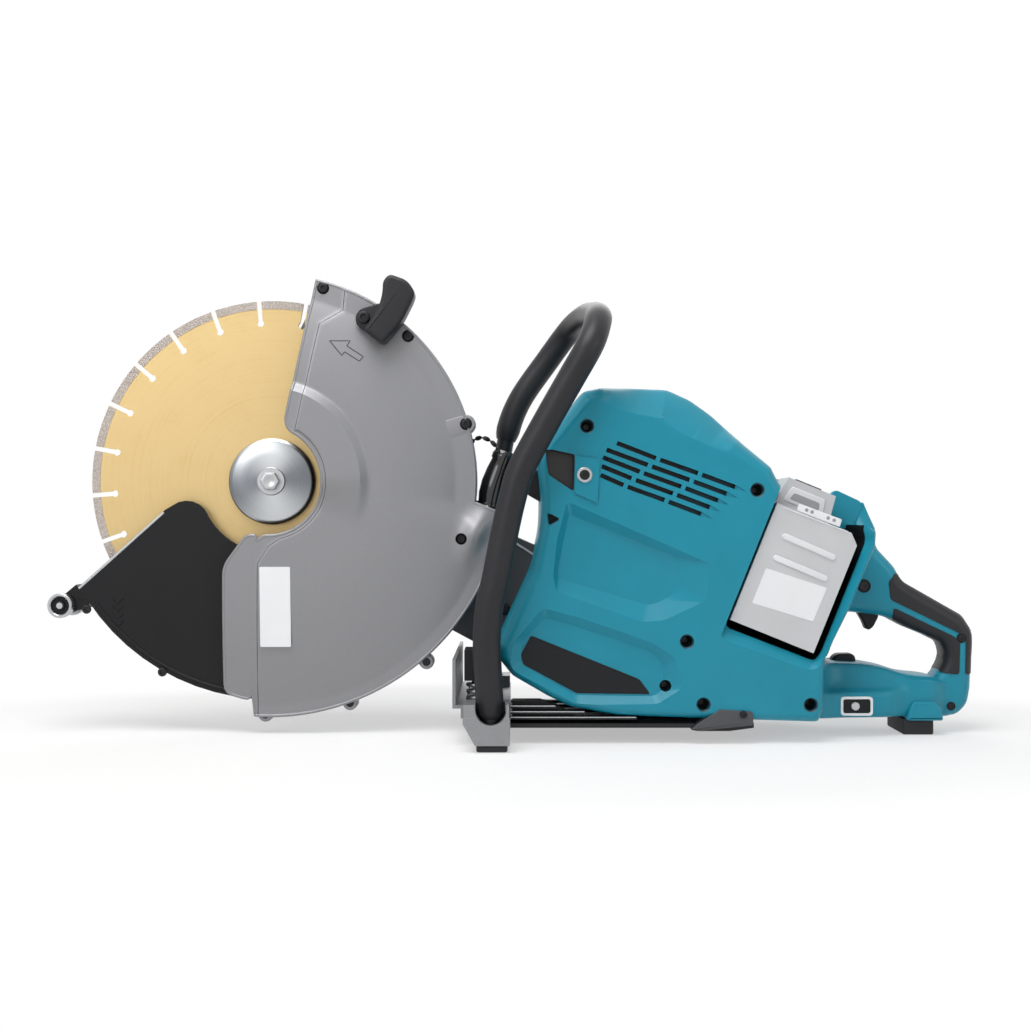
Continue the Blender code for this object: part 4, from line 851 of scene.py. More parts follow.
def vent_slots():
    """The outlines of the slots, and of the shallow point that each row runs out in."""
    slots = []
    trails = []
    for row, start in enumerate(VENT_START):
        t = row / (len(VENT_START) - 1)
        stops = [Vector(a).lerp(Vector(b), t) for a, b in zip(VENT_TOP_BREAKS, VENT_LOW_BREAKS)]
        ahead = (stops[-1] - Vector(start)).normalized()
        bar = ahead * VENT_BAR / 2
        starts = [Vector(start), stops[0] + bar, stops[1] + bar]
        ends = [stops[0] - bar, stops[1] - bar, stops[2]]
        slots += [oblong(a, b, VENT_HALF) for a, b in zip(starts, ends)]
        mouth = oblong(stops[2] + ahead * TRAIL_START, stops[2] + ahead, VENT_HALF)
        trails.append([mouth[0], tuple(stops[2] + ahead * VENT_TRAIL), mouth[3]])
    return slots, trails


VENT_SLOTS, VENT_TRAILS = vent_slots()
print("vents:", len(VENT_SLOTS), "slots a side")


# %% Battery bay
LEAN = math.radians(22.0)
PACK_CORNER = (438.5, -130.3)


def in_bay(back, up):
    """A point of the bay, measured back and up along the leaning packs."""
    x = PACK_CORNER[0] + back * math.cos(LEAN) + up * math.sin(LEAN)
    z = PACK_CORNER[1] - back * math.sin(LEAN) + up * math.cos(LEAN)
    return (x, z)


def bay_line(*places):
    """Several points of the bay, measured as above."""
    return [in_bay(back, up) for back, up in places]


BAY = rounded(bay_line((-1.5, -8.0), (88.0, -6.5), (91.0, 3.0), (91.0, 116.0), (84.0, 126.0), (84.0, 170.0),
                       (-1.5, 170.0)), 6.0)
BAY_RIM = rounded(bay_line((-3.0, -20.0), (88.0, -16.0), (96.5, -2.0), (97.5, 116.0), (91.0, 128.0),
                           (91.0, 172.0), (-3.0, 172.0)), 8.0)
BAY_CHAMFER = 9.0
BAY_FLOOR = 5.3
NOTCH = bay_line((-1.5, 84.0), (84.0, 84.0), (84.0, 171.0), (-1.5, 171.0))
NOTCH_NEAR = 30.0
NOTCH_FAR = -3.0
print(f"the packs lean back {math.degrees(LEAN):.0f} degrees")


# %% Cut the openings
# Painted shade: the same teal, but dim, so that a slot looks deep
PAINTED_SHADE_TEAL = moulded("shaded_teal_abs", "#0d3a46", 0.5, 0.8, 0.08, 0.04)
# Painted shade: the bay's lining is nearly black, for the deep shadow seen between pack and frame
BAY_PAINTED_SHADE = moulded("bay_lining_painted_shade", "#070a0b", 0.62, 0.9, 0.05, ior=1.2)
# A brownish black that is a little glossy
SMOKED = moulded("smoked_window_plastic", "#1a1413", 0.3, 1.0, 0.04)
WELLS = traced(-BODY_HALF, (587, 426), (757.5, 490), (687, 641.6), (666, 686.5), (703.6, 704.6), (811, 705))
WELL_RADIUS = 5.4
WELL_FLOOR = BODY_HALF - 20.0
CORNER_WELL = rounded(traced(-BODY_HALF, (547, 513), (559, 519), (549, 525)), 2.0)
WINDOW = rounded(traced(-BODY_HALF, (545, 449), (574, 455), (573, 490), (549, 474)), 1.5)
VENT_FLOOR = BODY_HALF - 9.0
TRAIL_FLOOR = BODY_HALF - 1.0
CORNER_FLOOR = BODY_HALF - 16.0
WINDOW_FLOOR = BODY_HALF - 14.0
BODY_SHARP = 24.0


def open_body(skin, side, window):
    """Cuts vents, wells, the bay and, on one side, the small window."""
    face = BODY_HALF
    # The walls of slots and wells get painted shade
    tools = [(*well(slot, side, face, VENT_FLOOR), PAINTED_SHADE_TEAL) for slot in VENT_SLOTS]
    tools += [(*well(trail, side, face, TRAIL_FLOOR), None) for trail in VENT_TRAILS]
    mouths = [circle(WELL_RADIUS, centre) for centre in WELLS]
    tools += [(*well(mouth, side, face, WELL_FLOOR, 1.4), PAINTED_SHADE_TEAL) for mouth in mouths]
    tools.append((*well(CORNER_WELL, side, face, CORNER_FLOOR, 1.0), PAINTED_SHADE_TEAL))
    if window:
        tools.append((*well(WINDOW, side, face, WINDOW_FLOOR, 0.8), SMOKED))
    inner = face - BAY_CHAMFER
    frame_levels = [(BAY_RIM, face + CUTTER_ABOVE), (BAY_RIM, face), (BAY, inner), (BAY, inner - 2)]
    tools.append((*layered(frame_levels, side), None))
    cut(skin, tools)
    # The bay and the notch between the packs are lined with painted shade
    cut(skin, [(*well(BAY, side, inner, BAY_FLOOR), BAY_PAINTED_SHADE)])
    cut(skin, [(*slab(NOTCH, side * NOTCH_NEAR, side * NOTCH_FAR), BAY_PAINTED_SHADE)])
    smooth_shade(skin.data, BODY_SHARP)


open_body(body_near, -1, True)
open_body(body_far, 1, False)
well_screws = [socket_heads(WELLS, side * WELL_FLOOR, 4.4, 3.0, side) for side in (-1, 1)]
piece("body_screws", *joined(well_screws), BOLT_STEEL, "frame", "dark_steel")
print("wells:", len(WELLS), "a side, each with a screw")


# %% [markdown]
# A blank charcoal plate of vinyl film lies in the lower panel. The side panel keeps its solid. Its
# screw gets a real socket, and a plated washer whose edge is turned down.

# %% Plate and side screw
PLATE = rounded(traced(-BODY_HALF, (531, 636), (640, 680), (651, 695), (577, 694), (523, 665),
                       (521, 655)), 2.5)
PLATE_THICK = 1.0
plate_back = -BODY_HALF + LOW_SINK + 0.4
piece("blank_rating_plate", *slab(PLATE, plate_back - PLATE_THICK, plate_back), DARK_PLATE, "frame",
      "black_plastic")
SIDE_SCREW = (303.0, 4.0)
SIDE_FACE = -84.4
side_screw = piece("side_panel_socket_screw", *socket_head(SIDE_SCREW, SIDE_FACE, 4.6, 2.0), BOLT_STEEL,
                   "frame", "bright_steel")
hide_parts("side_panel_screw")
# Each corner of the washer's section: its radius, and how far it stands out
WASHER = [(4.4, -0.4), (7.2, -0.4), (7.2, 1.4), (6.4, 2.2), (4.8, 2.2)]
washer_section = [(radius, SIDE_FACE - stands) for radius, stands in WASHER]
piece("side_panel_washer", *lathe(washer_section, SIDE_SCREW, 48), ZINC_STEEL, "frame", "bright_steel")
print("side screw and washer at", SIDE_SCREW)


# %% [markdown]
# The guard's near half is pressed from sheet: a flat flange along the rim, a shallow dome, and a
# raised ring that starts beside the mouth and dies away lower down. A height over a fine polar grid
# gives all three, and a cut along the outline leaves the sheet with its true edge.

# %% Guard outline
GUARD_UPPER = 201.0
GUARD_LOWER = 229.0
GUARD_FLANGE = 22.0
MOUTH_TOP = (46.0, 199.0)
MOUTH_LOW = [(-10.0, -51.2), (-21.5, -52.0), (-43.6, -82.5), (-43.6, -206.0), (-16.5, -214.0)]
MOUTH_CORNER = 9.0
HUB_RADIUS = 52.0
HUB_CORNER = 14.0
LEDGE_TURN = -5.8
LEDGE_LONG = 27.0
LEDGE_DROP = math.radians(-16.2)
LEDGE_IN = arc(GUARD_UPPER, LEDGE_TURN, LEDGE_TURN, 1)[0]
LEDGE_OUT = (LEDGE_IN[0] + LEDGE_LONG * math.cos(LEDGE_DROP), LEDGE_IN[1] + LEDGE_LONG * math.sin(LEDGE_DROP))
LOWER_START = math.degrees(math.atan2(LEDGE_OUT[1], LEDGE_OUT[0])) - 0.8
LOWER_END = -93.7
RIM_STEPS = 90


def guard_outline(drawn_in=0.0):
    """The near plate: the rim down the back, the mouth's lower edge, the hub and the front edge."""
    top = math.degrees(math.atan2(MOUTH_TOP[1], MOUTH_TOP[0]))
    rim = arc(GUARD_UPPER - drawn_in, top, LEDGE_TURN - drawn_in * 0.3, RIM_STEPS)
    rim += arc(GUARD_LOWER - drawn_in, LOWER_START - drawn_in * 0.3, LOWER_END, RIM_STEPS)
    mouth = rounded(MOUTH_LOW[::-1], MOUTH_CORNER)
    hub = arc(HUB_RADIUS, -94.0, 58.0, 60)
    corner = Vector(arc(HUB_RADIUS, 73.0, 73.0, 1)[0])
    ahead = corner + (Vector(MOUTH_TOP) - corner).normalized() * HUB_CORNER
    turn = [Vector(hub[-1]) * (1 - t) ** 2 + corner * 2 * t * (1 - t) + ahead * t * t
            for t in np.linspace(0.15, 1.0, 7)]
    return [*rim, *mouth, *hub, *[(p.x, p.y) for p in turn]]


GUARD_LINE = guard_outline()
print("guard outline:", len(GUARD_LINE), "points")


# %% Guard height
SEAM = [*traced(-GUARD_FLANGE, (344.6, 291), (343, 310), (320, 324), (297, 432)), *arc(57.0, 58.0, -78.0, 24),
        *traced(-GUARD_FLANGE, (270, 546), (259, 563), (258, 716))]
STRIP = [*SEAM, *traced(-GUARD_FLANGE, (258, 730), (200, 730), (200, 270), (345, 270))]
STRIP_SINK = 0.7
STRIP_BLEND = 0.8
DOME_RISE = 9.0
DOME_START = 105.0
DOME_CREASE = 181.0
DOME_WIDENS = 36.0
RING_RISE = 6.5
CONE_FOOT = 98.5
CONE_WIDE = 8.5
FAIRING_TOP = (211.0, -20.0)
FAIRING_FOOT = (186.0, -92.0)
FAIRING_RISE = 12.0
FAIRING_HALF = 12.0
# Angles about the disc's axis between which a form comes in or dies away
WIDENING = (-16, -5)
RING_STARTS = (-30, 4)
RING_ENDS = (78, 92)


def step(low, high, value):
    """A soft step from 0 up to 1 between two values."""
    t = np.clip((value - low) / (high - low), 0, 1)
    return t * t * (3 - 2 * t)


def guard_height(x, z):
    """How far the sheet stands out from the flange."""
    reach = np.hypot(x, z)
    turn = np.degrees(np.arctan2(z, x))
    lower = 1 - step(*WIDENING, turn)
    crease = DOME_CREASE + DOME_WIDENS * lower
    dome = DOME_RISE * np.clip(1 - (np.maximum(reach - DOME_START, 0) / (crease - DOME_START)) ** 2, 0, 1)
    crescent = step(*RING_STARTS, turn) * (1 - step(*RING_ENDS, turn))
    ring = RING_RISE * np.clip((CONE_FOOT - reach) / CONE_WIDE, 0, 1) * crescent
    points = np.column_stack([x, z])
    strip = STRIP_SINK * step(-STRIP_BLEND, STRIP_BLEND, edge_distance(points, STRIP)[0])
    spine = np.array(FAIRING_FOOT) - np.array(FAIRING_TOP)
    along = (points - np.array(FAIRING_TOP)) @ spine / (spine @ spine)
    aside = np.linalg.norm(points - np.array(FAIRING_TOP) - np.clip(along, 0, 1)[:, None] * spine, axis=1)
    fairing = FAIRING_RISE * np.exp(-(aside / FAIRING_HALF) ** 2) * (1 - step(0.15, 1.0, along)) * lower
    return dome + ring - strip + fairing


def on_sheet(line, lift, step_mm=2.0):
    """A line of x and z points laid on the guard's sheet, lifted towards the viewer."""
    fine = []
    for a, b in zip(line, line[1:]):
        count = max(1, int(math.dist(a, b) / step_mm))
        fine += [Vector(a).lerp(Vector(b), i / count) for i in range(count)]
    fine.append(Vector(line[-1]))
    x = np.array([p.x for p in fine])
    z = np.array([p.y for p in fine])
    y = -GUARD_FLANGE - guard_height(x, z) - lift
    return [Vector((float(a), float(b), float(c))) for a, b, c in zip(x, y, z)]


def sheet_depth(spot, lift=0.0):
    """The depth of the guard's sheet at one place."""
    return on_sheet([spot, spot], lift)[0].y


print(f"the dome stands out {DOME_RISE:.0f} mm, the ring {RING_RISE} mm more")


# %% Guard skin and rim
SHEET = 3.5
GUARD_HOLE = seen(461, 539, -30.0)
GUARD_HOLE_RADIUS = 5.6
RIM_WALL = 3.0
WAY_OUT = -60.0
OPEN_FRONT = [(-16.5, -260.0), (-90.0, -260.0), (-90.0, 230.0), (40.0, 230.0)]


def guard_skin():
    """The pressed sheet, trimmed along the guard's outline, with the hole for a deep screw."""
    turns = np.radians(np.arange(-180, 180, 0.75))
    rings = []
    for reach in [*np.arange(30, 232, 2.0), 236.0]:
        x = reach * np.cos(turns)
        z = reach * np.sin(turns)
        y = -GUARD_FLANGE - guard_height(x, z)
        rings.append([(float(a), float(b), float(c)) for a, b, c in zip(x, y, z)])
    back = [[(x, y + SHEET, z) for x, y, z in ring] for ring in reversed(rings)]
    points, faces = lofted([*rings, *back], closed_path=True)
    made = piece("guard_skin_near", points, faces, SILVER_PAINT, "guard", "silver_paint")
    cut(made, [(*slab(GUARD_LINE, WAY_OUT, 0.0), None)], "INTERSECT")
    return cut(made, [(*slab(circle(GUARD_HOLE_RADIUS, GUARD_HOLE), WAY_OUT, 0.0), None)])


guard_near = guard_skin()
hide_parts("guard_outer_half")
rim = piece("guard_rim_near", *slab(GUARD_LINE, -GUARD_FLANGE + 2.0, -HALF_GAP), SILVER_PAINT, "guard",
            "silver_paint")
inner_rim = guard_outline(RIM_WALL)[:2 * (RIM_STEPS + 1)]
cut(rim, [(*slab([*inner_rim, *OPEN_FRONT], -40.0, 10.0), None)])
print("guard skin:", len(guard_near.data.vertices), "points")


# %% [markdown]
# Lines on the guard. The pressed sheet has a rolled edge, a seam where the front strip meets the
# plate, and the outline of an arrow that shows which way the disc turns. Each is a thin tube
# laid on the sheet: its depth at every point comes from the same height that shaped the sheet.

# %% Guard edge, seam, arrow and plate
edge_line = inset(GUARD_LINE, 1.2)
rolled_edge = line_on(on_sheet([*edge_line, edge_line[0]], -1.1), 1.7, 12)
piece("guard_rolled_edge", *rolled_edge, SILVER_PAINT, "guard", "silver_paint")
piece("guard_seam", *line_on(on_sheet(SEAM, -0.1), 0.38), DARK_CAST, "guard", "black_plastic")
ARROW = traced(-GUARD_FLANGE, (330.4, 341.4), (350.8, 341.4), (347.5, 346.5), (364, 357.3), (360, 361.8),
               (345.5, 352.5), (342.7, 356.3))
arrow_line = on_sheet([*ARROW, ARROW[0]], 0.0)
piece("guard_turn_arrow", *line_on(arrow_line, 0.5), DARK_CAST, "guard", "black_plastic")
BLANK_PLATE = rounded(traced(-GUARD_FLANGE, (261, 566.5), (291.5, 566.5), (292.5, 646), (262, 646)), 1.5)
plate_face = sheet_depth(BLANK_PLATE[0], 0.5)
blank_plate = slab(BLANK_PLATE, plate_face, plate_face + 1.2)
piece("blank_guard_plate", *blank_plate, WHITE_PRINT, "guard", "pale_plastic")
print("guard lines: rolled edge, seam and arrow; one blank plate")


# %% [markdown]
# Screws of the guard. Three lie on the sheet in seats that are painted shade, one deep in a hole,
# and three draw the halves together through lugs outside the rim. An ear carries the hindmost one.
# The far side, which the photograph doesn't show, gets rolled edges and the same screws.

# %% Guard screws, lugs and far side
GUARD_SCREWS = traced(-GUARD_FLANGE, (323, 288), (408, 336), (466, 424))
SEAT = [(3.6, -0.5), (5.9, -0.5), (5.9, 0.25), (3.6, 0.25)]
heads = []
seats = []
for spot in GUARD_SCREWS:
    face = sheet_depth(spot)
    heads.append(socket_head(spot, face, 4.7, 2.2))
    seats.append(lathe([(radius, face - stands) for radius, stands in SEAT], spot, 40))
piece("guard_screws", *joined(heads), BOLT_STEEL, "guard", "dark_steel")
# The seats round the screws are nearly black: painted shade
piece("guard_screw_seats", *joined(seats), PAINTED_HOLE_SHADE, "guard", "dark_steel")
piece("guard_deep_screw", *socket_head(GUARD_HOLE, -19.0, 5.2, 3.0), BOLT_STEEL, "guard", "dark_steel")

# The lugs' roots end in the rim's wall, so that the front cover can draw back inside it
LUG_ROOT = 1.0
EAR_ROOT = 20.0
LUG_FACE = -18.5
LUGS = [Vector(spot) for spot in traced(-18.0, (426.5, 662), (350, 703), (265.5, 714.5))]


def towards_axis(spot, distance):
    """A place moved towards the disc's axis by a distance."""
    return spot * (1 - distance / spot.length)


ear_middle = Vector(GUARD_SCREWS[-1])
ear_line = capsule(ear_middle, towards_axis(ear_middle, EAR_ROOT), 9.2, 12)
screw_ear = crowned(ear_line, -GUARD_FLANGE - 0.2, -2 * HALF_GAP, 1.2)
piece("guard_screw_ear", *screw_ear, SILVER_PAINT, "guard", "silver_paint")
lugs = [crowned(capsule(spot, towards_axis(spot, LUG_ROOT), 7.2, 10), LUG_FACE, -2 * HALF_GAP, 1.6)
        for spot in LUGS]
piece("guard_lugs", *joined(lugs), SILVER_PAINT, "guard", "silver_paint")
lug_screws = socket_heads(LUGS, LUG_FACE + 0.1, 3.9, 1.2)
piece("guard_lug_screws", *lug_screws, BOLT_STEEL, "guard", "dark_steel")
far_lines = [arc(GUARD_UPPER - 1.2, 74, -4, 90), arc(GUARD_LOWER - 1.2, -11, -93, 90),
             arc(152.0, 66, -88, 120)]
far_edges = joined([bead(line, GUARD_FLANGE - 0.3, 1.3, 10) for line in far_lines])
piece("guard_far_edges", *far_edges, SILVER_PAINT, "guard", "silver_paint")
far_screws = socket_heads(GUARD_SCREWS, GUARD_FLANGE, 4.4, 2.0, 1)
piece("guard_far_screws", *far_screws, BOLT_STEEL, "guard", "dark_steel")
print("guard screws:", 2 * len(GUARD_SCREWS) + len(LUGS) + 1, "with", len(LUGS), "lugs and one ear")


# %% [markdown]
# Disc, flange and bolt. The segments are brazed on the core's rim, a little thicker than the core,
# with a gap at each keyhole slot. The flange is turned from steel: many facets round its axis keep
# its edge round, and the six flats of the bolt's head are drawn on the same count of points.

# %% Segments, flange and bolt
DISC_RADIUS = 177.5
SEGMENT_ROOT = 169.8
SEGMENT_HALF = 1.9
SEGMENT_COUNT = 24
SLOT_FIRST = 4.4
SLOT_MOUTH = 0.8
segments = []
for i in range(SEGMENT_COUNT):
    first = SLOT_FIRST + 360 / SEGMENT_COUNT * i + SLOT_MOUTH
    last = first + 360 / SEGMENT_COUNT - 2 * SLOT_MOUTH
    outline = [*arc(DISC_RADIUS + 0.1, first, last, 10), *arc(SEGMENT_ROOT, last, first, 10)]
    segments.append(slab(outline, -SEGMENT_HALF, SEGMENT_HALF))
piece("disc_segments", *joined(segments), GRIT, "disc", "disc_core")
# Corners of the turned sections: radius and depth
FLANGE = [(5.2, -1.8), (42.4, -1.8), (42.4, -6.0), (41.9, -6.9), (40.6, -7.7), (37.9, -8.6), (26.0, -9.5),
          (14.0, -9.8), (5.2, -9.8)]
BOLT_WASHER = [(13.8, -10.1), (13.8, -11.7), (13.2, -12.4), (8.0, -12.5)]
BOLT_FLATS = [(9.5, -12.2), (9.5, -18.2), (8.8, -19.3)]
BOLT_DISH = [(6.6, -19.5), (4.6, -19.5), (3.6, -18.9)]
BOLT_SHANK = [(4.8, -10.3), (4.8, 30.0)]
AXIS = (0.0, 0.0)


def round_rings(section):
    """A circle about the disc's axis for each corner of a section."""
    return [round_ring(AXIS, radius, y) for radius, y in section]


flange = piece("flange_turned", *lathe(FLANGE, count=160), FLANGE_STEEL, "disc", "bright_steel")
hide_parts("outer_flange")
flats = [six_sided(AXIS, radius, y) for radius, y in BOLT_FLATS]
bolt_solids = [lofted(round_rings(BOLT_WASHER)), lofted([*flats, *round_rings(BOLT_DISH)]),
               lofted(round_rings(BOLT_SHANK))]
bolt = piece("flange_hex_bolt", *joined(bolt_solids), ZINC_STEEL, "disc", "bright_steel")
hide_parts("flange_bolt")
print("disc:", SEGMENT_COUNT, "segments")


# %% [markdown]
# The lever that turns the guard is a soft moulded knob on a flat ear. Both are drawn as outlines
# with rounded edges: a large radius on the knob, where a hand pushes it, and a small one on the ear.

# %% Guard lever
LEVER = [(119.0, 197.0), (136.0, 191.0), (143.4, 179.5), (141.0, 171.5), (130.0, 149.5), (114.0, 132.0),
         (109.5, 132.0), (97.0, 141.5), (95.3, 144.8), (108.0, 163.7), (112.0, 178.0), (112.6, 190.5)]
LEVER_EAR = [(86.0, 150.0), (84.5, 158.0), (89.0, 165.0), (96.0, 167.5), (111.5, 172.0), (118.0, 150.0),
             (100.0, 142.0), (92.0, 145.5)]
LEVER_SCREW = (93.0, 157.0)
KNOB_FACE = -48.0
EAR_FACE = -33.0
LEVER_BACK = -22.4
knob = crowned(rounded(LEVER, 9.0, 6), KNOB_FACE, LEVER_BACK, 4.2, 8)
ear = crowned(rounded(LEVER_EAR, 5.0), EAR_FACE, LEVER_BACK, 1.4)
lever = piece("lever_soft_knob", *joined([knob, ear]), SOFT_RUBBER, "guard", "black_rubber", 60)
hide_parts("guard_lever")
lever_head = socket_head(LEVER_SCREW, EAR_FACE - 0.2, 6.0, 3.0)
lever_screw = piece("lever_socket_screw", *lever_head, BOLT_STEEL, "guard", "dark_steel")
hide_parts("lever_screw")
print("lever stands", LEVER_BACK - KNOB_FACE, "mm off the guard")


# %% [markdown]
# The dust outlet is a short elbow of polished black plastic that swells above its collar and
# narrows to its mouth, with a twisted strap for its cap. A path with a radius at each point gives
# the swelling, and the strap is a thin band turned as it goes.

# %% Dust outlet and strap
# Each point of the elbow has its x and z and the elbow's radius there
ELBOW = [(213.9, -24.3, 14.6), (214.4, -21.5, 14.6), (214.6, -21.0, 12.4), (216.0, -13.0, 13.4),
         (219.0, -2.0, 13.6), (223.0, 10.0, 12.6), (226.5, 19.5, 11.2), (227.2, 21.5, 12.4),
         (228.6, 26.0, 12.4), (229.6, 29.3, 10.6)]
ELBOW_SIDES = 40
elbow_line = [Vector((x, 0.0, z)) for x, z, _ in ELBOW]
elbow = tube(elbow_line, [radius for _, _, radius in ELBOW], ELBOW_SIDES)
nozzle = piece("dust_elbow", *elbow, GLOSS_BLACK, "guard", "black_plastic", 50)
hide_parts("dust_nozzle")
MOUTH_RADIUS = 8.2
# A disc of painted shade fills the elbow's mouth
mouth = bead([(229.2, 28.0), (229.65, 29.5)], 0.0, MOUTH_RADIUS, ELBOW_SIDES)
piece("dust_elbow_mouth_shade", *mouth, PAINTED_HOLE_SHADE, "guard", "black_plastic")
STRAP = [(194, 0, 37), (199, -3, 41), (206, -5, 43), (214, -6, 40), (220, -8, 34), (223, -10, 27)]
STRAP_HALF = 2.2
STRAP_THICK_HALF = 0.6
STRAP_TURNS = 2.5
ACROSS = Vector((0, 1, 0))
strap_line = smooth_path([Vector(p) for p in STRAP], 12)
strap_rings = []
for i, spot in enumerate(strap_line):
    ahead = heading_at(strap_line, i)
    up = ahead.cross(ACROSS).normalized()
    turn = 2 * math.pi * STRAP_TURNS * i / len(strap_line)
    wide = (ACROSS * math.cos(turn) + up * math.sin(turn)) * STRAP_HALF
    thick = ahead.cross(wide).normalized() * STRAP_THICK_HALF
    corners = (wide + thick, thick - wide, -wide - thick, wide - thick)
    strap_rings.append([tuple(spot + corner) for corner in corners])
piece("dust_cap_strap", *lofted(strap_rings), BLACK_NYLON, "guard", "black_plastic", 60)
print("strap:", STRAP_TURNS, "twists")


# %% [markdown]
# Front cover and roller. The cover keeps its solid. A bead runs inside its rim, a bright strip
# edges its straight side, and two small screws and four chevrons sit on its face. The roller is a
# steel ring round a dark hub with a screw in it.

# %% Cover details and roller
COVER_FACE = -14.0
COVER_BEAD = 207.5
rim_bead = bead(arc(COVER_BEAD, 215.0, 286.0, 90), COVER_FACE - 0.2, 1.3, 10)
piece("cover_bead", *rim_bead, BLACK_NYLON, "cover", "black_plastic")
STRAIGHT_EDGE = [(-187.0, -104.6), (-104.2, -30.4)]
bright_edge = bead(STRAIGHT_EDGE, COVER_FACE + 1.0, 1.5, 12)
piece("cover_bright_edge", *bright_edge, ZINC_STEEL, "cover", "bright_steel")
COVER_SCREWS = traced(COVER_FACE, (86.7, 609.3), (162.4, 672))
cover_screws = socket_heads(COVER_SCREWS, COVER_FACE, 4.4, 1.6)
piece("cover_screws", *cover_screws, BLACK_STEEL, "cover", "black_plastic")
CHEVRON_TOPS = (598.0, 605.5, 613.0, 620.5)
chevrons = []
for top in CHEVRON_TOPS:
    corners = traced(COVER_FACE, (112, top), (117.7, top + 6), (123.5, top))
    chevrons.append(bead(corners, COVER_FACE - 0.1, 0.6))
piece("cover_chevrons", *joined(chevrons), BLACK_NYLON, "cover", "black_plastic")
ROLLER = (-203.0, -121.0)
HUB_FACE = -19.4
TYRE = [(8.6, -14.4), (11.2, -14.4), (12.0, -15.2), (12.0, -22.4), (11.2, -23.3), (9.6, -23.3), (8.8, -22.4),
        (8.6, -19.0)]
ROLLER_HUB = [(3.0, -14.4), (8.7, -14.4), (8.7, HUB_FACE), (3.0, HUB_FACE)]
roller = piece("roller_ring", *lathe(TYRE, ROLLER, 72), ZINC_STEEL, "roller", "bright_steel")
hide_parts("roller_near")
piece("roller_hub", *lathe(ROLLER_HUB, ROLLER, 48), BLACK_NYLON, "roller", "black_plastic")
piece("roller_screw", *socket_head(ROLLER, HUB_FACE, 4.6, 2.4), BOLT_STEEL, "roller", "dark_steel")
print("cover:", len(CHEVRON_TOPS), "chevrons,", len(COVER_SCREWS), "screws and the roller")


# %% [markdown]
# The front hoop is a bent steel tube under a thick rubber sleeve. The same points that bent the
# tube carry a finer, rounder sleeve here, with a round end that sits in the yoke and a rolled end
# where the bare tube comes out.

# %% Hoop tube and sleeve
HOOP_NEAR = -112.0
HOOP_FAR = 105.0
HOOP = [
    (217, HOOP_NEAR, -226), (215, HOOP_NEAR, -191), (213, HOOP_NEAR, -155), (215, HOOP_NEAR, -119),
    (221, HOOP_NEAR, -91), (228, HOOP_NEAR, -55), (236, HOOP_NEAR, -19), (245, HOOP_NEAR, 10),
    (268, HOOP_NEAR, 53), (289, HOOP_NEAR, 90), (307, HOOP_NEAR, 122), (315, HOOP_NEAR + 24, 145),
    (317, HOOP_NEAR + 62, 156), (315, 0, 164), (310, HOOP_FAR - 58, 169), (297, HOOP_FAR - 16, 162),
    (273, HOOP_FAR, 131), (244, HOOP_FAR, 89), (230, HOOP_FAR, 52), (222, HOOP_FAR, 0),
    (215, HOOP_FAR, -60), (213, HOOP_FAR, -120), (215, HOOP_FAR, -180), (217, HOOP_FAR, -226),
]
HOOP_FINE = 8
HOOP_SIDES = 32
HOOP_GRIP_SPANS = 18
HOOP_GRIP = 12.7
HOOP_TUBE = 9.0
HOOP_FOOT_X = 216.5
SLEEVE_END = -221.0
ROUND_TURNS = [math.radians(a) for a in (4, 20, 38, 56, 74)]
ROLLED_END = [HOOP_GRIP - 0.8, HOOP_GRIP - 2.5]
hoop_line = smooth_path([Vector(p) for p in HOOP], HOOP_FINE)
round_rise = [SLEEVE_END + HOOP_GRIP * (1 - math.cos(a)) for a in ROUND_TURNS]
sleeve_foot = [Vector((HOOP_FOOT_X, HOOP_NEAR, rise)) for rise in round_rise]
sleeve_rest = [p for p in hoop_line[:HOOP_GRIP_SPANS * HOOP_FINE + 2] if p.z > SLEEVE_END + HOOP_GRIP]
foot_radii = [HOOP_GRIP * math.sin(a) for a in ROUND_TURNS]
rest_radii = [HOOP_GRIP] * (len(sleeve_rest) - len(ROLLED_END))
sleeve = tube([*sleeve_foot, *sleeve_rest], [*foot_radii, *rest_radii, *ROLLED_END], HOOP_SIDES)
hoop_grip = piece("hoop_rubber_sleeve", *sleeve, SOFT_RUBBER, "frame", "black_rubber", 50)
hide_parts("front_handle_grip")
hoop_tube = piece("hoop_steel_tube", *line_on(hoop_line, HOOP_TUBE, HOOP_SIDES), BLACK_STEEL, "frame",
                  "dark_steel")
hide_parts("front_handle_tube")
print("hoop length", round(sum((a - b).length for a, b in zip(hoop_line, hoop_line[1:]))), "mm")


# %% [markdown]
# The yoke is a casting that carries both ends of the hoop. Its near post wraps round the sleeve like
# a saddle, open to the side, so the rubber's round end shows in it. Behind it the base has thin black
# fins, each with a painted highlight along its upper edge, in front of a dark core.

# %% Yoke
YOKE_HALF = 131.0
YOKE_FRONT = 192.0
YOKE_BACK = 234.0
YOKE_BOTTOM = -239.0
YOKE_TOP = -214.0
YOKE_CHIN = -219.5
YOKE_TAPER = 11.0
POST_DEPTH = 38.0
POST_TOP = -202.5
POST_INSET = 0.7
SADDLE = (217.0, -207.0)
SADDLE_RADIUS = 14.0
SADDLE_NEAR = -140.0
SOCKET_TOP = -190.0
SOCKET_SIDES = 40
CAST_RADIUS = 1.6


def yoke_side(top, drawn_in):
    """The yoke's side, narrower at the foot than above."""
    front = YOKE_FRONT + drawn_in
    back = YOKE_BACK - drawn_in
    bottom = YOKE_BOTTOM + drawn_in
    return [(front, top), (front, YOKE_CHIN), (front + YOKE_TAPER, bottom), (back, bottom), (back, top)]


def hoop_socket(y, bottom, radius):
    """A cutting tool for the round socket that a leg of the hoop stands in."""
    ends = [(HOOP_FOOT_X, y, bottom), (HOOP_FOOT_X, y, SOCKET_TOP)]
    return (*line_on(ends, radius, SOCKET_SIDES), None)


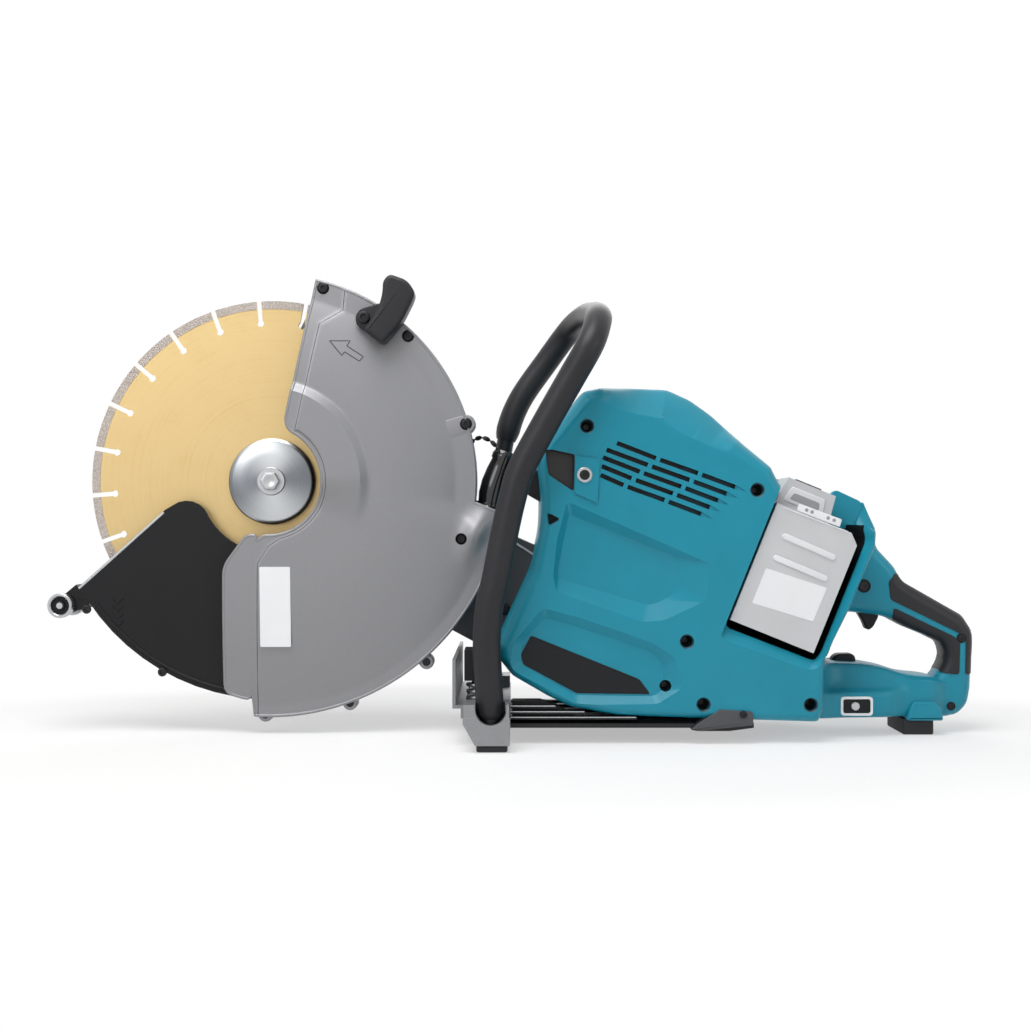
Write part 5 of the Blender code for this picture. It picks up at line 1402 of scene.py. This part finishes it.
yoke = piece("yoke_casting", *slab(yoke_side(YOKE_TOP, 0.0), -YOKE_HALF, YOKE_HALF), BARE_CAST, "frame",
             "cast_grey")
post_line = yoke_side(POST_TOP, POST_INSET)
post_out = YOKE_HALF - POST_INSET
post_in = YOKE_HALF - POST_DEPTH
posts = [slab(post_line, side * post_out, side * post_in) for side in (-1, 1)]
cut(yoke, [(*post, None) for post in posts], "UNION")
saddle_line = [*arc(SADDLE_RADIUS, 180, 360, 24, SADDLE), (SADDLE[0] + SADDLE_RADIUS, SOCKET_TOP),
               (SADDLE[0] - SADDLE_RADIUS, SOCKET_TOP)]
cut(yoke, [(*slab(saddle_line, SADDLE_NEAR, HOOP_NEAR), None), hoop_socket(HOOP_FAR, -226.5, 9.6)])
cut(yoke, [hoop_socket(HOOP_NEAR, -222.0, 13.2)])
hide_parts("front_yoke")
edge_radius(yoke, CAST_RADIUS)
print("yoke", 2 * YOKE_HALF, "mm wide, with a saddle and two sockets")


# %% Base fins
# Each fin has the x of its back end and its height
FINS = [(277.0, -211.4), (304.0, -216.7), (352.0, -221.9)]
FIN_FRONT = 234.6
FIN_THICK = 1.3
FIN_NEAR = -79.0
FIN_FAR = -58.0
FIN_CORE = [(236.0, -223.0), (300.0, -223.0), (276.0, -210.0), (262.0, -206.0), (236.0, -206.0)]
FIN_CORE_NEAR = -73.0
fins = []
# A thin bright bead on each fin's upper edge is a painted highlight
painted_fin_highlights = []
for back, z in FINS:
    low, high = z - FIN_THICK, z + FIN_THICK
    side_line = [(FIN_FRONT, low), (back, low), (back, high), (FIN_FRONT, high)]
    fins.append(crowned(side_line, FIN_NEAR, FIN_FAR, 0.6))
    painted_fin_highlights.append(bead([(FIN_FRONT, z + 1.0), (back - 1.0, z + 1.0)], FIN_NEAR, 0.55))
piece("base_fins", *joined(fins), BLACK_STEEL, "frame", "dark_steel")
piece("base_fin_painted_highlights", *joined(painted_fin_highlights), ZINC_STEEL, "frame", "dark_steel")
piece("base_fin_core", *slab(FIN_CORE, FIN_CORE_NEAR, FIN_FAR), BLACK_NYLON, "frame", "black_plastic")
print("base:", len(FINS), "fins")


# %% [markdown]
# Dampers and feet. The coils under the hoop's yoke are drawn with the turns and pitch of the model,
# but with a rounder wire. The feet are rubber pads with a small radius all round and grooves across
# the sole, so each is a stack of rounded rectangles.

# %% Springs
SPRING_X = 208.0
SPRING_Y = 75.0
SPRING_COIL = 13.0
SPRING_WIRE = 2.0
SPRING_TURNS = 4
SPRING_PITCH = 6.0
SPRING_LOW = -211.7
PER_TURN = 32
for name, side in (("near", -1), ("far", 1)):
    coil = []
    for i in range(SPRING_TURNS * PER_TURN + 1):
        turn = 2 * math.pi * i / PER_TURN
        across = side * SPRING_Y + SPRING_COIL * math.sin(turn)
        rise = SPRING_LOW + SPRING_PITCH * i / PER_TURN
        coil.append((SPRING_X + SPRING_COIL * math.cos(turn), across, rise))
    wire = line_on(coil, SPRING_WIRE, 14)
    spring = piece(f"damper_coil_{name}", *wire, ZINC_STEEL, "frame", "bright_steel")
    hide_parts(f"damper_spring_{name}")
print("springs:", SPRING_TURNS, "turns each")


# %% Feet
PAD_CORNER = 3.0
GROOVES = 3
GROOVE_HALF = 0.9
GROOVE_DEEP = 1.2


def rubber_pad(name, replaced):
    """A pad that fills its solid's box, with rounded corners and grooves across its sole."""
    low, high = [(Vector(corner) - DISC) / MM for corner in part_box(replaced)]
    plan = rounded([(low.x, low.y), (high.x, low.y), (high.x, high.y), (low.x, high.y)], PAD_CORNER)
    levels = [(1.2, low.z), (0.3, low.z + 0.5), (0.0, low.z + 1.4), (0.0, high.z - 0.8), (0.8, high.z)]
    rings = [[(x, y, z) for x, y in inset(plan, drawn)] for drawn, z in levels]
    pad = piece(name, *lofted(rings), FOOT_RUBBER, "frame", "black_rubber")
    pitch = (high.y - low.y) / (GROOVES + 1)
    front, back, under, floor = low.x - 1, high.x + 1, low.z - 1, low.z + GROOVE_DEEP
    across = [(front, under), (back, under), (back, floor), (front, floor)]
    middles = [low.y + pitch * (k + 1) for k in range(GROOVES)]
    cut(pad, [(*slab(across, middle - GROOVE_HALF, middle + GROOVE_HALF), None) for middle in middles])
    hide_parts(replaced)


PADS = ("front_foot_near", "front_foot_far", "rear_foot")
for name in PADS:
    rubber_pad(f"{name}_pad", name)
print("pads:", len(PADS), "with", GROOVES, "grooves each")


# %% [markdown]
# The rear bar. Behind the bay the body draws in to a bar that the rear handle stands on. Its upper
# half is scooped for the hand, its lower half is fuller and carries the control panel. Sections
# across the saw, joined along its length, give the soft step and the scoop in one skin.

# %% Rear bar
# Each section has its x, half widths below and above the scoop, and its bottom, scoop and top heights
BAR = [
    (500, 58, 58, -226, -200, -168), (518, 59, 57, -226.5, -200, -169), (526, 60, 54, -227, -201, -171),
    (532, 56, 44, -227.4, -202, -173.5), (539, 51, 34, -228, -203, -175), (550, 46.5, 29.5, -228, -203, -175),
    (575, 45, 29, -228, -203, -176), (596, 43, 29, -228, -202, -180), (606, 37, 28.5, -228, -201, -183),
    (614, 32, 29, -228.5, -200, -186), (628, 31.5, 30, -228.7, -199, -188),
    (642, 31.5, 29, -228.7, -200, -189), (650, 25, 24, -227, -202, -191), (660, 17.5, 17, -224, -204, -194),
]
BAR_STEPS = 120
BAR_BLEND = 9
BAR_CORNER = 7.0


def bar_section(x, low_half, high_half, bottom, scoop, top):
    """One section across the bar, from its lower edge at one side round to that at the other."""
    step_in = low_half - high_half
    right = [
        (low_half - BAR_CORNER, bottom), (low_half - BAR_CORNER * 0.3, bottom + BAR_CORNER * 0.3),
        (low_half, bottom + BAR_CORNER), (low_half, scoop - 3), (low_half - 1.2, scoop),
        (high_half + step_in * 0.45, scoop + 3), (high_half + step_in * 0.12, scoop + 8),
        (high_half, (scoop + 8 + top - 5) / 2), (high_half - 1.0, top - 5), (high_half - 4.0, top - 1.2),
        (high_half - 10.0, top),
    ]
    return [(x, y, z) for y, z in right] + [(x, -y, z) for y, z in reversed(right)]


def rear_bar():
    """The bar's skin, its sections blended along its length."""
    rows = np.array(BAR, float)
    steps = np.linspace(rows[0, 0], rows[-1, 0], BAR_STEPS)
    columns = [steps]
    for k in range(1, rows.shape[1]):
        fine = np.pad(np.interp(steps, rows[:, 0], rows[:, k]), BAR_BLEND // 2, mode="edge")
        columns.append(np.convolve(fine, np.ones(BAR_BLEND) / BAR_BLEND, mode="valid"))
    rings = [[tuple(float(v) for v in point) for point in bar_section(*values)] for values in zip(*columns)]
    return piece("rear_bar", *lofted(rings), TEAL_ABS, "frame", "teal_plastic", 50)


bar = rear_bar()
soft = bar.modifiers.new("soft_edges", "SUBSURF")
soft.levels = 1
soft.render_levels = 1
LOCK_WELL = [(548.6, -188.8), (573.4, -188.8), (573.4, -160.0), (548.6, -160.0)]
LOCK_WELL_HALF = 8.9
POWER_BUTTON = (562.5, -215.0)
lock_well = slab(LOCK_WELL, -LOCK_WELL_HALF, LOCK_WELL_HALF)
power_well = slab(circle(4.2, POWER_BUTTON), WAY_OUT, -40.6)
# The wells' walls get painted shade
cut(bar, [(*lock_well, PAINTED_HOLE_SHADE), (*power_well, PAINTED_HOLE_SHADE)])
print("rear bar from", BAR[0][0], "to", BAR[-1][0], "mm behind the disc")


# %% [markdown]
# Rear handle. The moulding is rounded over towards every edge, so its two faces are heights over a
# fine grid: full width inside, and a quarter circle along the outline. The soft rubber is the same
# surface lifted a little, in two bands: one over the top and down the back, one round the hand hole.
# The teal stripe between them is the handle itself. A thin hook rises between the batteries.

# %% Handle outlines
HANDLE_HALF = 19.0
HANDLE_ROUND = 11.0
HANDLE_GRID = 1.3
NECK_HALF = 5.0
NECK_RISES = (-66.0, -26.0)
RUBBER_LIFT = 0.8
HANDLE = rounded([
    in_bay(91.5, 6), in_bay(91.5, 149), (580.0, -19.0),
    *traced(-HANDLE_HALF, (879, 531), (877.5, 547), (896, 567), (898.5, 571.5), (905, 582), (964, 616.5),
            (973.5, 631), (974.5, 641), (973.6, 660), (972.6, 689), (969.8, 704.5), (960.2, 715),
            (944.9, 717.9)),
    (612.0, -229.0), (612.0, -198.0),
    *traced(-HANDLE_HALF, (932, 682), (943, 668.1), (946.8, 657.6), (945.8, 649), (942, 641.3),
            (929.6, 636.5), (916.2, 630.8), (893.2, 619.3)),
    (595.0, -131.0), (562.0, -127.0), (543.0, -174.0),
], 5.0)
UPPER_BAND = traced(-HANDLE_HALF, (889.4, 582), (897, 573.4), (902.8, 582), (964, 616.4), (973.6, 631.7),
                    (974.5, 641.3), (972.6, 673.8), (966.3, 673.8), (966.9, 641.3), (962.1, 633.7),
                    (891.3, 599.2))
LOWER_BAND = traced(-HANDLE_HALF, (894.2, 608.8), (954.4, 637.5), (959.2, 643.2), (958.3, 673.8),
                    (941, 671.9), (945.8, 662.4), (946.8, 650.9), (943, 642.3), (927.7, 634.6), (906.6, 626),
                    (894.2, 619.3))
print("handle outline:", len(HANDLE), "points")


# %% Handle and rubber bands
TRIGGER_SLOT = [(566.0, -150.0), (613.0, -150.0), (613.0, -109.0), (566.0, -109.0)]
TRIGGER_SLOT_HALF = 6.8


def handle_half(points, lift):
    """Half the handle's width at each point, with a quarter round along its outline."""
    radius = HANDLE_ROUND + lift
    inside = edge_distance(points, HANDLE)[0] + lift
    near_edge = np.clip(radius - inside, 0, radius)
    fall = radius - np.sqrt(radius ** 2 - near_edge ** 2)
    neck = step(*NECK_RISES, points[:, 1])
    return (HANDLE_HALF + lift - fall) * (1 - neck) + NECK_HALF * neck


def handle_piece(name, outline, lift, finish, slot):
    """The handle's surface over an outline, lifted by a little."""
    low = np.min(outline, axis=0) - 2 * HANDLE_GRID
    high = np.max(outline, axis=0) + 2 * HANDLE_GRID
    across = np.arange(low[0], high[0], HANDLE_GRID)
    heights = np.arange(low[1], high[1], HANDLE_GRID)
    grid = np.array([(x, z) for z in heights for x in across])
    near = [(float(x), -float(h), float(z)) for (x, z), h in zip(grid, handle_half(grid, lift))]
    far = [(x, -y, z) for x, y, z in near]
    wide, tall, count = len(across), len(heights), len(near)
    corners = [r * wide + c for r in range(tall - 1) for c in range(wide - 1)]
    cells = [(k, k + 1, k + wide + 1, k + wide) for k in corners]
    border = [*range(wide - 1), *range(wide - 1, count - 1, wide), *range(count - 1, count - wide, -1),
              *range(count - wide, 0, -wide)]
    walls = [(a, b, b + count, a + count) for a, b in zip(border, [*border[1:], border[0]])]
    back = [tuple(count + k for k in reversed(cell)) for cell in cells]
    made = piece(name, near + far, cells + back + walls, finish, "frame", slot)
    return cut(made, [(*slab(outline, WAY_OUT, -WAY_OUT), None)], "INTERSECT")


def grip_band(name, band):
    """A band of soft rubber over the handle, a little wider than drawn."""
    wider = inset(rounded(band, 2.5), -RUBBER_LIFT)
    return handle_piece(name, wider, RUBBER_LIFT, SOFT_RUBBER, "black_rubber")


handle_shell = handle_piece("handle_shell", HANDLE, 0.0, TEAL_ABS, "teal_plastic")
upper = grip_band("grip_band_upper", UPPER_BAND)
lower = grip_band("grip_band_lower", LOWER_BAND)
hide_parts("rear_handle")
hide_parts("rear_grip")
# The trigger slot's walls get painted shade
cut(handle_shell, [(*slab(TRIGGER_SLOT, -TRIGGER_SLOT_HALF, TRIGGER_SLOT_HALF), PAINTED_HOLE_SHADE)])
HOOK_HALF = 4.6
HOOK = [(540.0, -30.0), (549.4, -11.0), (554.5, -8.4), (578.3, -19.5), (592.0, -47.6), (590.0, -64.0),
        (560.0, -70.0), (545.0, -60.0)]
bay_hook = crowned(rounded(HOOK, 3.0), -HOOK_HALF, HOOK_HALF, 1.2)
piece("bay_hook", *bay_hook, TEAL_ABS, "frame", "teal_plastic")
print("handle: two rubber bands and a hook")


# %% Handle screws and panel border
# Each screw has its pixel in the photograph and the radius of its cup
HANDLE_SCREWS = ((961.4, 638, 4.9), (951, 706, 4.2), (864, 586, 6.6))
CUP_DEEP = 3.5
# Corners of a cup's section: share of its radius, and how far the corner stands out
CUP = [(0.55, -1.0), (1.0, -1.0), (1.0, 0.5), (0.84, 0.8), (0.7, 0.1)]
cups = []
screws = []
for px, py, radius in HANDLE_SCREWS:
    centre = seen(px, py, -HANDLE_HALF)
    # Each screw's hole is cut with walls of painted shade
    hole = slab(circle(radius * 0.9, centre), WAY_OUT, -HANDLE_HALF + CUP_DEEP)
    for moulding in (handle_shell, upper, lower):
        cut(moulding, [(*hole, PAINTED_HOLE_SHADE)])
    cups.append(lathe([(radius * share, -HANDLE_HALF - stands) for share, stands in CUP], centre, 48))
    screws.append(socket_head(centre, -HANDLE_HALF + 0.4, radius * 0.72, 1.1))
piece("handle_screw_cups", *joined(cups), BLACK_NYLON, "frame", "black_plastic")
piece("handle_screws", *joined(screws), BOLT_STEEL, "frame", "dark_steel")
PANEL = (564.0, -215.0)
PANEL_LENGTH = 28.0
PANEL_HEIGHT = 15.4


def panel_line(grow, corner):
    """The control panel's outline, grown on all sides together, with round corners."""
    x, z = PANEL
    half, tall = (PANEL_LENGTH + grow) / 2, (PANEL_HEIGHT + grow) / 2
    square = [(x - half, z - tall), (x + half, z - tall), (x + half, z + tall), (x - half, z + tall)]
    return rounded(square, corner)


border_ring = slab(panel_line(2.6, 3.5), -47.4, -44.0)
white_border = piece("panel_white_border", *border_ring, WHITE_PRINT, "frame", "pale_plastic")
cut(white_border, [(*slab(panel_line(-2.0, 2.5), WAY_OUT, -40.0), None)])
print("handle screws:", len(HANDLE_SCREWS))


# %% [markdown]
# What the hand works, and what the bar stands on. Trigger and lock button are small nylon mouldings,
# rounded wherever a finger meets them, so their outlines get round corners and rounded long edges.
# The rear pad is screwed to a block that stands out of the bar, and a folded steel cheek ties the
# base plate to each side of the body.

# %% Trigger, lock button, foot block and base cheeks
TRIGGER = [(571.0, -117.0), (571.2, -123.0), (575.5, -129.0), (580.5, -137.5), (583.0, -144.5),
           (586.5, -146.0), (590.5, -143.0), (595.8, -133.0), (595.8, -117.0)]
TRIGGER_HALF = 6.4
trigger_solid = crowned(rounded(TRIGGER, 3.5), -TRIGGER_HALF, TRIGGER_HALF, 2.0)
trigger = piece("trigger_moulding", *trigger_solid, BLACK_NYLON, "trigger", "black_plastic")
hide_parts("trigger")
LOCK = [(549.2, -184.6), (572.8, -184.6), (572.8, -172.5), (569.5, -169.0), (554.5, -169.2), (549.2, -174.5)]
LOCK_HALF = 8.3
lock_solid = crowned(rounded(LOCK, 4.0), -LOCK_HALF, LOCK_HALF, 2.6)
lock = piece("lock_moulding", *lock_solid, BLACK_NYLON, "lock", "black_plastic")
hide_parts("lock_button")
BLOCK_FACE = -35.0
FOOT_BLOCK = rounded(traced(BLOCK_FACE, (907.5, 721), (909.5, 709), (914, 701.5), (935, 701.5), (942.5, 709),
                            (944, 721)), 2.5)
foot_block = crowned(FOOT_BLOCK, BLOCK_FACE, -BLOCK_FACE, 2.6)
piece("rear_foot_block", *foot_block, TEAL_ABS, "frame", "teal_plastic")
CHEEK_FACE = -83.6
CHEEK_BACK = -62.0
CHEEK = rounded(traced(CHEEK_FACE, (691, 730), (697, 731.2), (752.5, 725.6), (753.7, 723.6), (752.6, 711.8),
                       (720, 709.8), (697.5, 724.2)), 1.2)
CHEEK_SCREW = seen(743.5, 714.5, CHEEK_FACE)
cheeks = [crowned(CHEEK, CHEEK_FACE, CHEEK_BACK, 0.7), crowned(CHEEK, -CHEEK_BACK, -CHEEK_FACE, 0.7)]
piece("base_cheeks", *joined(cheeks), DARK_CAST, "frame", "dark_steel")
cheek_screw = socket_head(CHEEK_SCREW, CHEEK_FACE, 3.6, 1.2)
piece("base_cheek_screw", *cheek_screw, BOLT_STEEL, "frame", "dark_steel")
print("controls and base: trigger, lock button, foot block and", len(cheeks), "cheeks")


# %% [markdown]
# Batteries. Each pack keeps its solid, in pale moulded plastic. The face towards the side has two
# raised ribs, a blank label, a rail plate with four dark dots and a thin line below its head.
# They ride on their own pack, so they leave the bay with it.

# %% Ribs, label and rail of each pack
PACK_FACE = 78.2
HEAD_FACE = 50.2
RIBS = [traced(-PACK_FACE, (785, 536.5), (832.5, 557)), traced(-PACK_FACE, (776, 558), (824.5, 578.5))]
LABEL = rounded(traced(-PACK_FACE, (766, 568), (827, 588), (813, 621.5), (752, 603)), 1.5)
RAIL = rounded(traced(-PACK_FACE, (799, 503.5), (842, 519.5), (839.5, 527), (797, 510.5)), 1.2)
RAIL_DOTS = traced(-PACK_FACE, (806.5, 510), (812, 512), (828, 518), (834, 520.3))
# Rings of a dot: radius, and how far the ring stands out
DOT = [(1.7, -0.4), (1.7, 0.95), (1.0, 1.15)]
HEAD_LINE = traced(-PACK_FACE, (784, 508), (848, 532))
HEAD_PANEL = rounded(bay_line((9, 124), (49, 124), (46, 139), (12, 139)), 2.0)
HEAD_GROOVE = rounded(bay_line((14, 127), (44, 127), (42, 134), (16, 134)), 2.0)
# Raised faces are polished in the tool, so their highlight is tighter; their lighter grey is painted
# highlight
PAINTED_HIGHLIGHT_ABS = moulded("polished_pale_grey_abs_painted_highlight", "#dfe0e2", 0.24, 0.8, 0.05, 0.03)
# A darker, duller grey: painted shade in the sunk groove of each head, and the rail's dark dots
DOTS_AND_SHADE_ABS = moulded("pale_grey_abs_dots_and_painted_shade", "#9a9b9d", 0.5, 0.8, 0.06, 0.03)


def proud(outline, face, stands, edge):
    """A plate that stands proud of a face, with rounded edges."""
    return crowned(outline, -face - stands, -face + 2.0, edge)


raised = [proud(capsule(a, b, 2.9, 8), PACK_FACE, 1.6, 1.1) for a, b in RIBS]
raised.append(bead(HEAD_LINE, -PACK_FACE - 0.1, 0.7))
raised.append(proud(HEAD_PANEL, HEAD_FACE, 1.0, 0.6))
film = [slab(LABEL, -PACK_FACE - 0.35, -PACK_FACE + 0.5)]
rail_plate = [proud(RAIL, PACK_FACE, 0.9, 0.4)]
dark = [lofted([round_ring(dot, radius, -PACK_FACE - stands) for radius, stands in DOT]) for dot in RAIL_DOTS]
dark.append(slab(HEAD_GROOVE, -HEAD_FACE - 1.15, -HEAD_FACE))
PACK_TRIM = (("ribs", raised, PAINTED_HIGHLIGHT_ABS), ("label", film, WHITE_PRINT), ("rail", rail_plate, WHITE_PRINT),
             ("dots_and_painted_shade", dark, DOTS_AND_SHADE_ABS))
for name, side in (("near", -1), ("far", 1)):
    for part, solids, finish in PACK_TRIM:
        points, faces = joined(solids)
        placed = [(x, -side * y, z) for x, y, z in points]
        piece(f"battery_{name}_{part}", placed, faces, finish, f"pack_{name}", "pale_plastic")
print("packs dressed, near and far")


# %% [markdown]
# Arm and front details. The arm behind the disc has a bright trim strip along its upper edge and a
# small boss. On the far side its cover is held by seven screws, with a bead inside its rim. A black
# clamp block joins the hoop's bracket to the body's front edge.

# %% Arm trim, arm cover and clamp
ARM_FACE = 26.0
TRIM = traced(ARM_FACE, (516.7, 543.5), (536, 556.5))
piece("arm_trim_strip", *bead(TRIM, ARM_FACE - 0.4, 1.3, 10), ZINC_STEEL, "frame", "bright_steel")
ARM_BOSS = seen(503.7, 608.8, ARM_FACE)
arm_boss = socket_head(ARM_BOSS, ARM_FACE, 6.2, 3.2)
piece("arm_boss_screw", *arm_boss, BLACK_STEEL, "frame", "dark_steel")
ARM_COVER_FACE = 70.3
ARM_NOSE = 48.0
ARM_TAIL = 60.0
ARM_SCREW_IN = 8.0
ARM_BEAD_IN = 15.0
ARM_BEAD_END = 0.72
arm_way = Vector((305.0, -150.0))
arm_aside = Vector((150.0, 305.0)).normalized()


def on_arm(share, drawn_in, side):
    """A place on the arm's cover, drawn in from its upper or its lower edge."""
    return arm_way * share + arm_aside * side * (ARM_NOSE + (ARM_TAIL - ARM_NOSE) * share - drawn_in)


arm_screws = [on_arm(share, ARM_SCREW_IN, side) for share in (0.04, 0.33, 0.62) for side in (-1, 1)]
arm_screws.append(arm_way.normalized() * (ARM_SCREW_IN - ARM_NOSE))
arm_heads = socket_heads(arm_screws, ARM_COVER_FACE, 4.2, 2.2, 1)
piece("arm_cover_screws", *arm_heads, BOLT_STEEL, "frame", "dark_steel")
arm_heading = math.degrees(math.atan2(arm_aside.y, arm_aside.x))
nose_bead = arc(ARM_NOSE - ARM_BEAD_IN, arm_heading, arm_heading + 180, 40)
arm_bead = [on_arm(ARM_BEAD_END, ARM_BEAD_IN, 1), *nose_bead, on_arm(ARM_BEAD_END, ARM_BEAD_IN, -1)]
piece("arm_cover_bead", *bead(arm_bead, ARM_COVER_FACE, 1.1, 10), DARK_CAST, "frame", "cast_grey")
CLAMP_NEAR = -52.0
CLAMP_DEPTH = 34.0
CLAMP = rounded(traced(CLAMP_NEAR, (526, 474), (533, 469), (548, 474), (548, 506), (527, 494)), 3)
clamp_block = crowned(CLAMP, CLAMP_NEAR, CLAMP_NEAR + CLAMP_DEPTH, 2.0)
piece("front_clamp_block", *clamp_block, BLACK_NYLON, "frame", "black_plastic")
print("arm cover:", len(arm_screws), "screws")


# %% [markdown]
# Pieces whose solid is already the right shape keep it. Each gets the finish of its real material,
# and hard edges get the small radius that a mould or a tumbling drum leaves.

# %% Finishes on carried-over solids
# Each solid has its finish and the radius of its edges
KEPT = [
    ("cutting_disc", GOLD_CORE, 0.0), ("inner_flange", FLANGE_STEEL, 0.8), ("spindle", ZINC_STEEL, 0.0),
    ("driven_pulley", BLACK_STEEL, 0.0), ("drive_pulley", BLACK_STEEL, 0.0), ("drive_belt", FOOT_RUBBER, 0.0),
    ("spindle_bearing_near", ZINC_STEEL, 0.0), ("spindle_bearing_far", ZINC_STEEL, 0.0),
    ("motor_shaft", ZINC_STEEL, 0.0), ("rotor_core", BLACK_STEEL, 0.0), ("cooling_fan", BLACK_NYLON, 0.0),
    ("stator", WOUND_COPPER, 0.0), ("motor_bearing_near", ZINC_STEEL, 0.0),
    ("motor_bearing_far", ZINC_STEEL, 0.0), ("arm_housing", DARK_CAST, 2.0), ("arm_cover", DARK_CAST, 2.0),
    ("guard_inner_half", SILVER_PAINT, 1.0), ("front_cover", BLACK_NYLON, 1.0),
    ("roller_axle", ZINC_STEEL, 0.5), ("roller_far", ZINC_STEEL, 1.0), ("motor_controller", BLACK_NYLON, 0.0),
    ("side_panel", TEAL_ABS, 0.8), ("spring_seat_near", BLACK_NYLON, 2.0),
    ("spring_seat_far", BLACK_NYLON, 2.0), ("deflector_plate", SILVER_PAINT, 0.6),
    ("base_plate", BLACK_STEEL, 0.8), ("base_bracket", BLACK_STEEL, 1.2), ("control_panel", BLACK_NYLON, 0.5),
    ("power_button", PALE_ABS, 0.5), ("bay_spine", BLACK_NYLON, 1.0),
    ("battery_near", PALE_ABS, 3.0), ("battery_far", PALE_ABS, 3.0), ("latch_near", BLACK_NYLON, 1.0),
    ("latch_far", BLACK_NYLON, 1.0), ("trigger_pin", ZINC_STEEL, 0.0), ("trigger_switch", BLACK_NYLON, 0.0),
]
for name, finish, bevel in KEPT:
    finish_node(name, finish, bevel)
print("kept solids:", len(KEPT))


# %% [markdown]
# Studio. A pale floor under the saw and a white surround. Camera, mirror and glass rays see plain
# white. The light comes from a dim surround and soft lamps, most of it from above, as the bright
# ledges of the photograph show. The floor is white too, darker where the saw's shadow falls.

# %% Floor
SHADOW_LIFT = 0.45
SHADOW_LONG = 0.75
SHADOW_WIDE = 0.42
FIBRE_MM = 4.0
FLOOR_HALF = 4.0
FLOOR_Z = -0.5 * MM


def plain_rays(tree):
    """A node that is 1 for camera, mirror and glass rays, which see plain white."""
    rays = node(tree, "ShaderNodeLightPath")
    mirror = node(tree, "ShaderNodeMath", [(0, rays, "Is Camera Ray"), (1, rays, "Is Glossy Ray")],
                  operation="MAXIMUM")
    return node(tree, "ShaderNodeMath", [(0, mirror, "Value"), (1, rays, "Is Transmission Ray")],
                operation="MAXIMUM")


def white_floor():
    """Matt card near the saw, where its shadow falls, and plain white to the eye further out."""
    made, tree, shader, place = blank("matt_white_studio_floor")
    fibre = node(tree, "ShaderNodeTexNoise", [("Vector", place, "Object")], Scale=waves_per_metre(FIBRE_MM))
    tint = node(tree, "ShaderNodeValToRGB", [("Fac", fibre, "Fac")])
    for stop, hexcode in zip(tint.color_ramp.elements, ("#f4f4f4", "#fbfbfb")):
        stop.color = linear(hexcode)
    link(tree, shader, [("Base Color", tint, "Color")])
    shader.inputs["Roughness"].default_value = 0.8
    squeezed = node(tree, "ShaderNodeVectorMath", [("Vector", place, "Object")],
                    [(1, (1 / SHADOW_LONG, 1 / SHADOW_WIDE, 0))], operation="MULTIPLY")
    reach = node(tree, "ShaderNodeVectorMath", [("Vector", squeezed, "Vector")], operation="LENGTH")
    fade = node(tree, "ShaderNodeMapRange", [("Value", reach, "Value")], interpolation_type="SMOOTHSTEP",
                From_Min=0.6, From_Max=1.0)
    lifted = node(tree, "ShaderNodeMath", [(0, fade, "Result")], [(1, SHADOW_LIFT)], operation="MAXIMUM")
    share = node(tree, "ShaderNodeMath", [(0, lifted, "Value"), (1, plain_rays(tree), "Value")],
                 operation="MULTIPLY")
    glow = node(tree, "ShaderNodeEmission", Strength=1.0)
    mixed = node(tree, "ShaderNodeMixShader", [(0, share, "Value"), (1, shader, "BSDF"),
                                               (2, glow, "Emission")])
    link(tree, tree.nodes["Material Output"], [("Surface", mixed, "Shader")])
    return made


floor_corners = [(-FLOOR_HALF, -FLOOR_HALF, 0), (FLOOR_HALF, -FLOOR_HALF, 0), (FLOOR_HALF, FLOOR_HALF, 0),
                 (-FLOOR_HALF, FLOOR_HALF, 0)]
floor_mesh = bpy.data.meshes.new("studio_floor")
floor_mesh.from_pydata(floor_corners, [], [(0, 1, 2, 3)])
floor_mesh.materials.append(white_floor())
floor = bpy.data.objects.new("studio_floor", floor_mesh)
floor.location.z = FLOOR_Z
bpy.context.scene.collection.objects.link(floor)
print("floor:", 2 * FLOOR_HALF, "m square")


# %% Surround and lamps
SURROUND = 0.24
WHITE = (1, 1, 1, 1)
world = bpy.data.worlds.new("white_surround")
world.use_nodes = True
bpy.context.scene.world = world
sky = world.node_tree
sky.nodes.clear()
dim = node(sky, "ShaderNodeBackground", Color=WHITE, Strength=SURROUND)
plain = node(sky, "ShaderNodeBackground", Color=WHITE, Strength=1.0)
either = node(sky, "ShaderNodeMixShader", [(0, plain_rays(sky), "Value"), (1, dim, "Background"),
                                           (2, plain, "Background")])
node(sky, "ShaderNodeOutputWorld", [("Surface", either, "Shader")])
LAMP_AIM = Vector((0, 0, 0.2))
# Each lamp has its place and width in metres and its power in watts
LAMPS = [("top_softbox", (-0.3, -0.65, 1.7), 1.3, 26), ("front_softbox", (-1.2, -1.9, 1.0), 0.9, 7),
         ("side_softbox", (1.6, -1.3, 0.8), 0.9, 4), ("back_softbox", (0.3, 1.8, 1.3), 1.4, 10)]
for name, place, size, power in LAMPS:
    light = bpy.data.lights.new(name, "AREA")
    light.shape = "DISK"
    light.size = size
    light.energy = power
    lamp = bpy.data.objects.new(name, light)
    lamp.location = place
    lamp.rotation_euler = (LAMP_AIM - Vector(place)).to_track_quat("-Z", "Y").to_euler()
    bpy.context.scene.collection.objects.link(lamp)
bpy.context.scene.view_settings.view_transform = "Standard"
print("lamps:", [name for name, *_ in LAMPS])
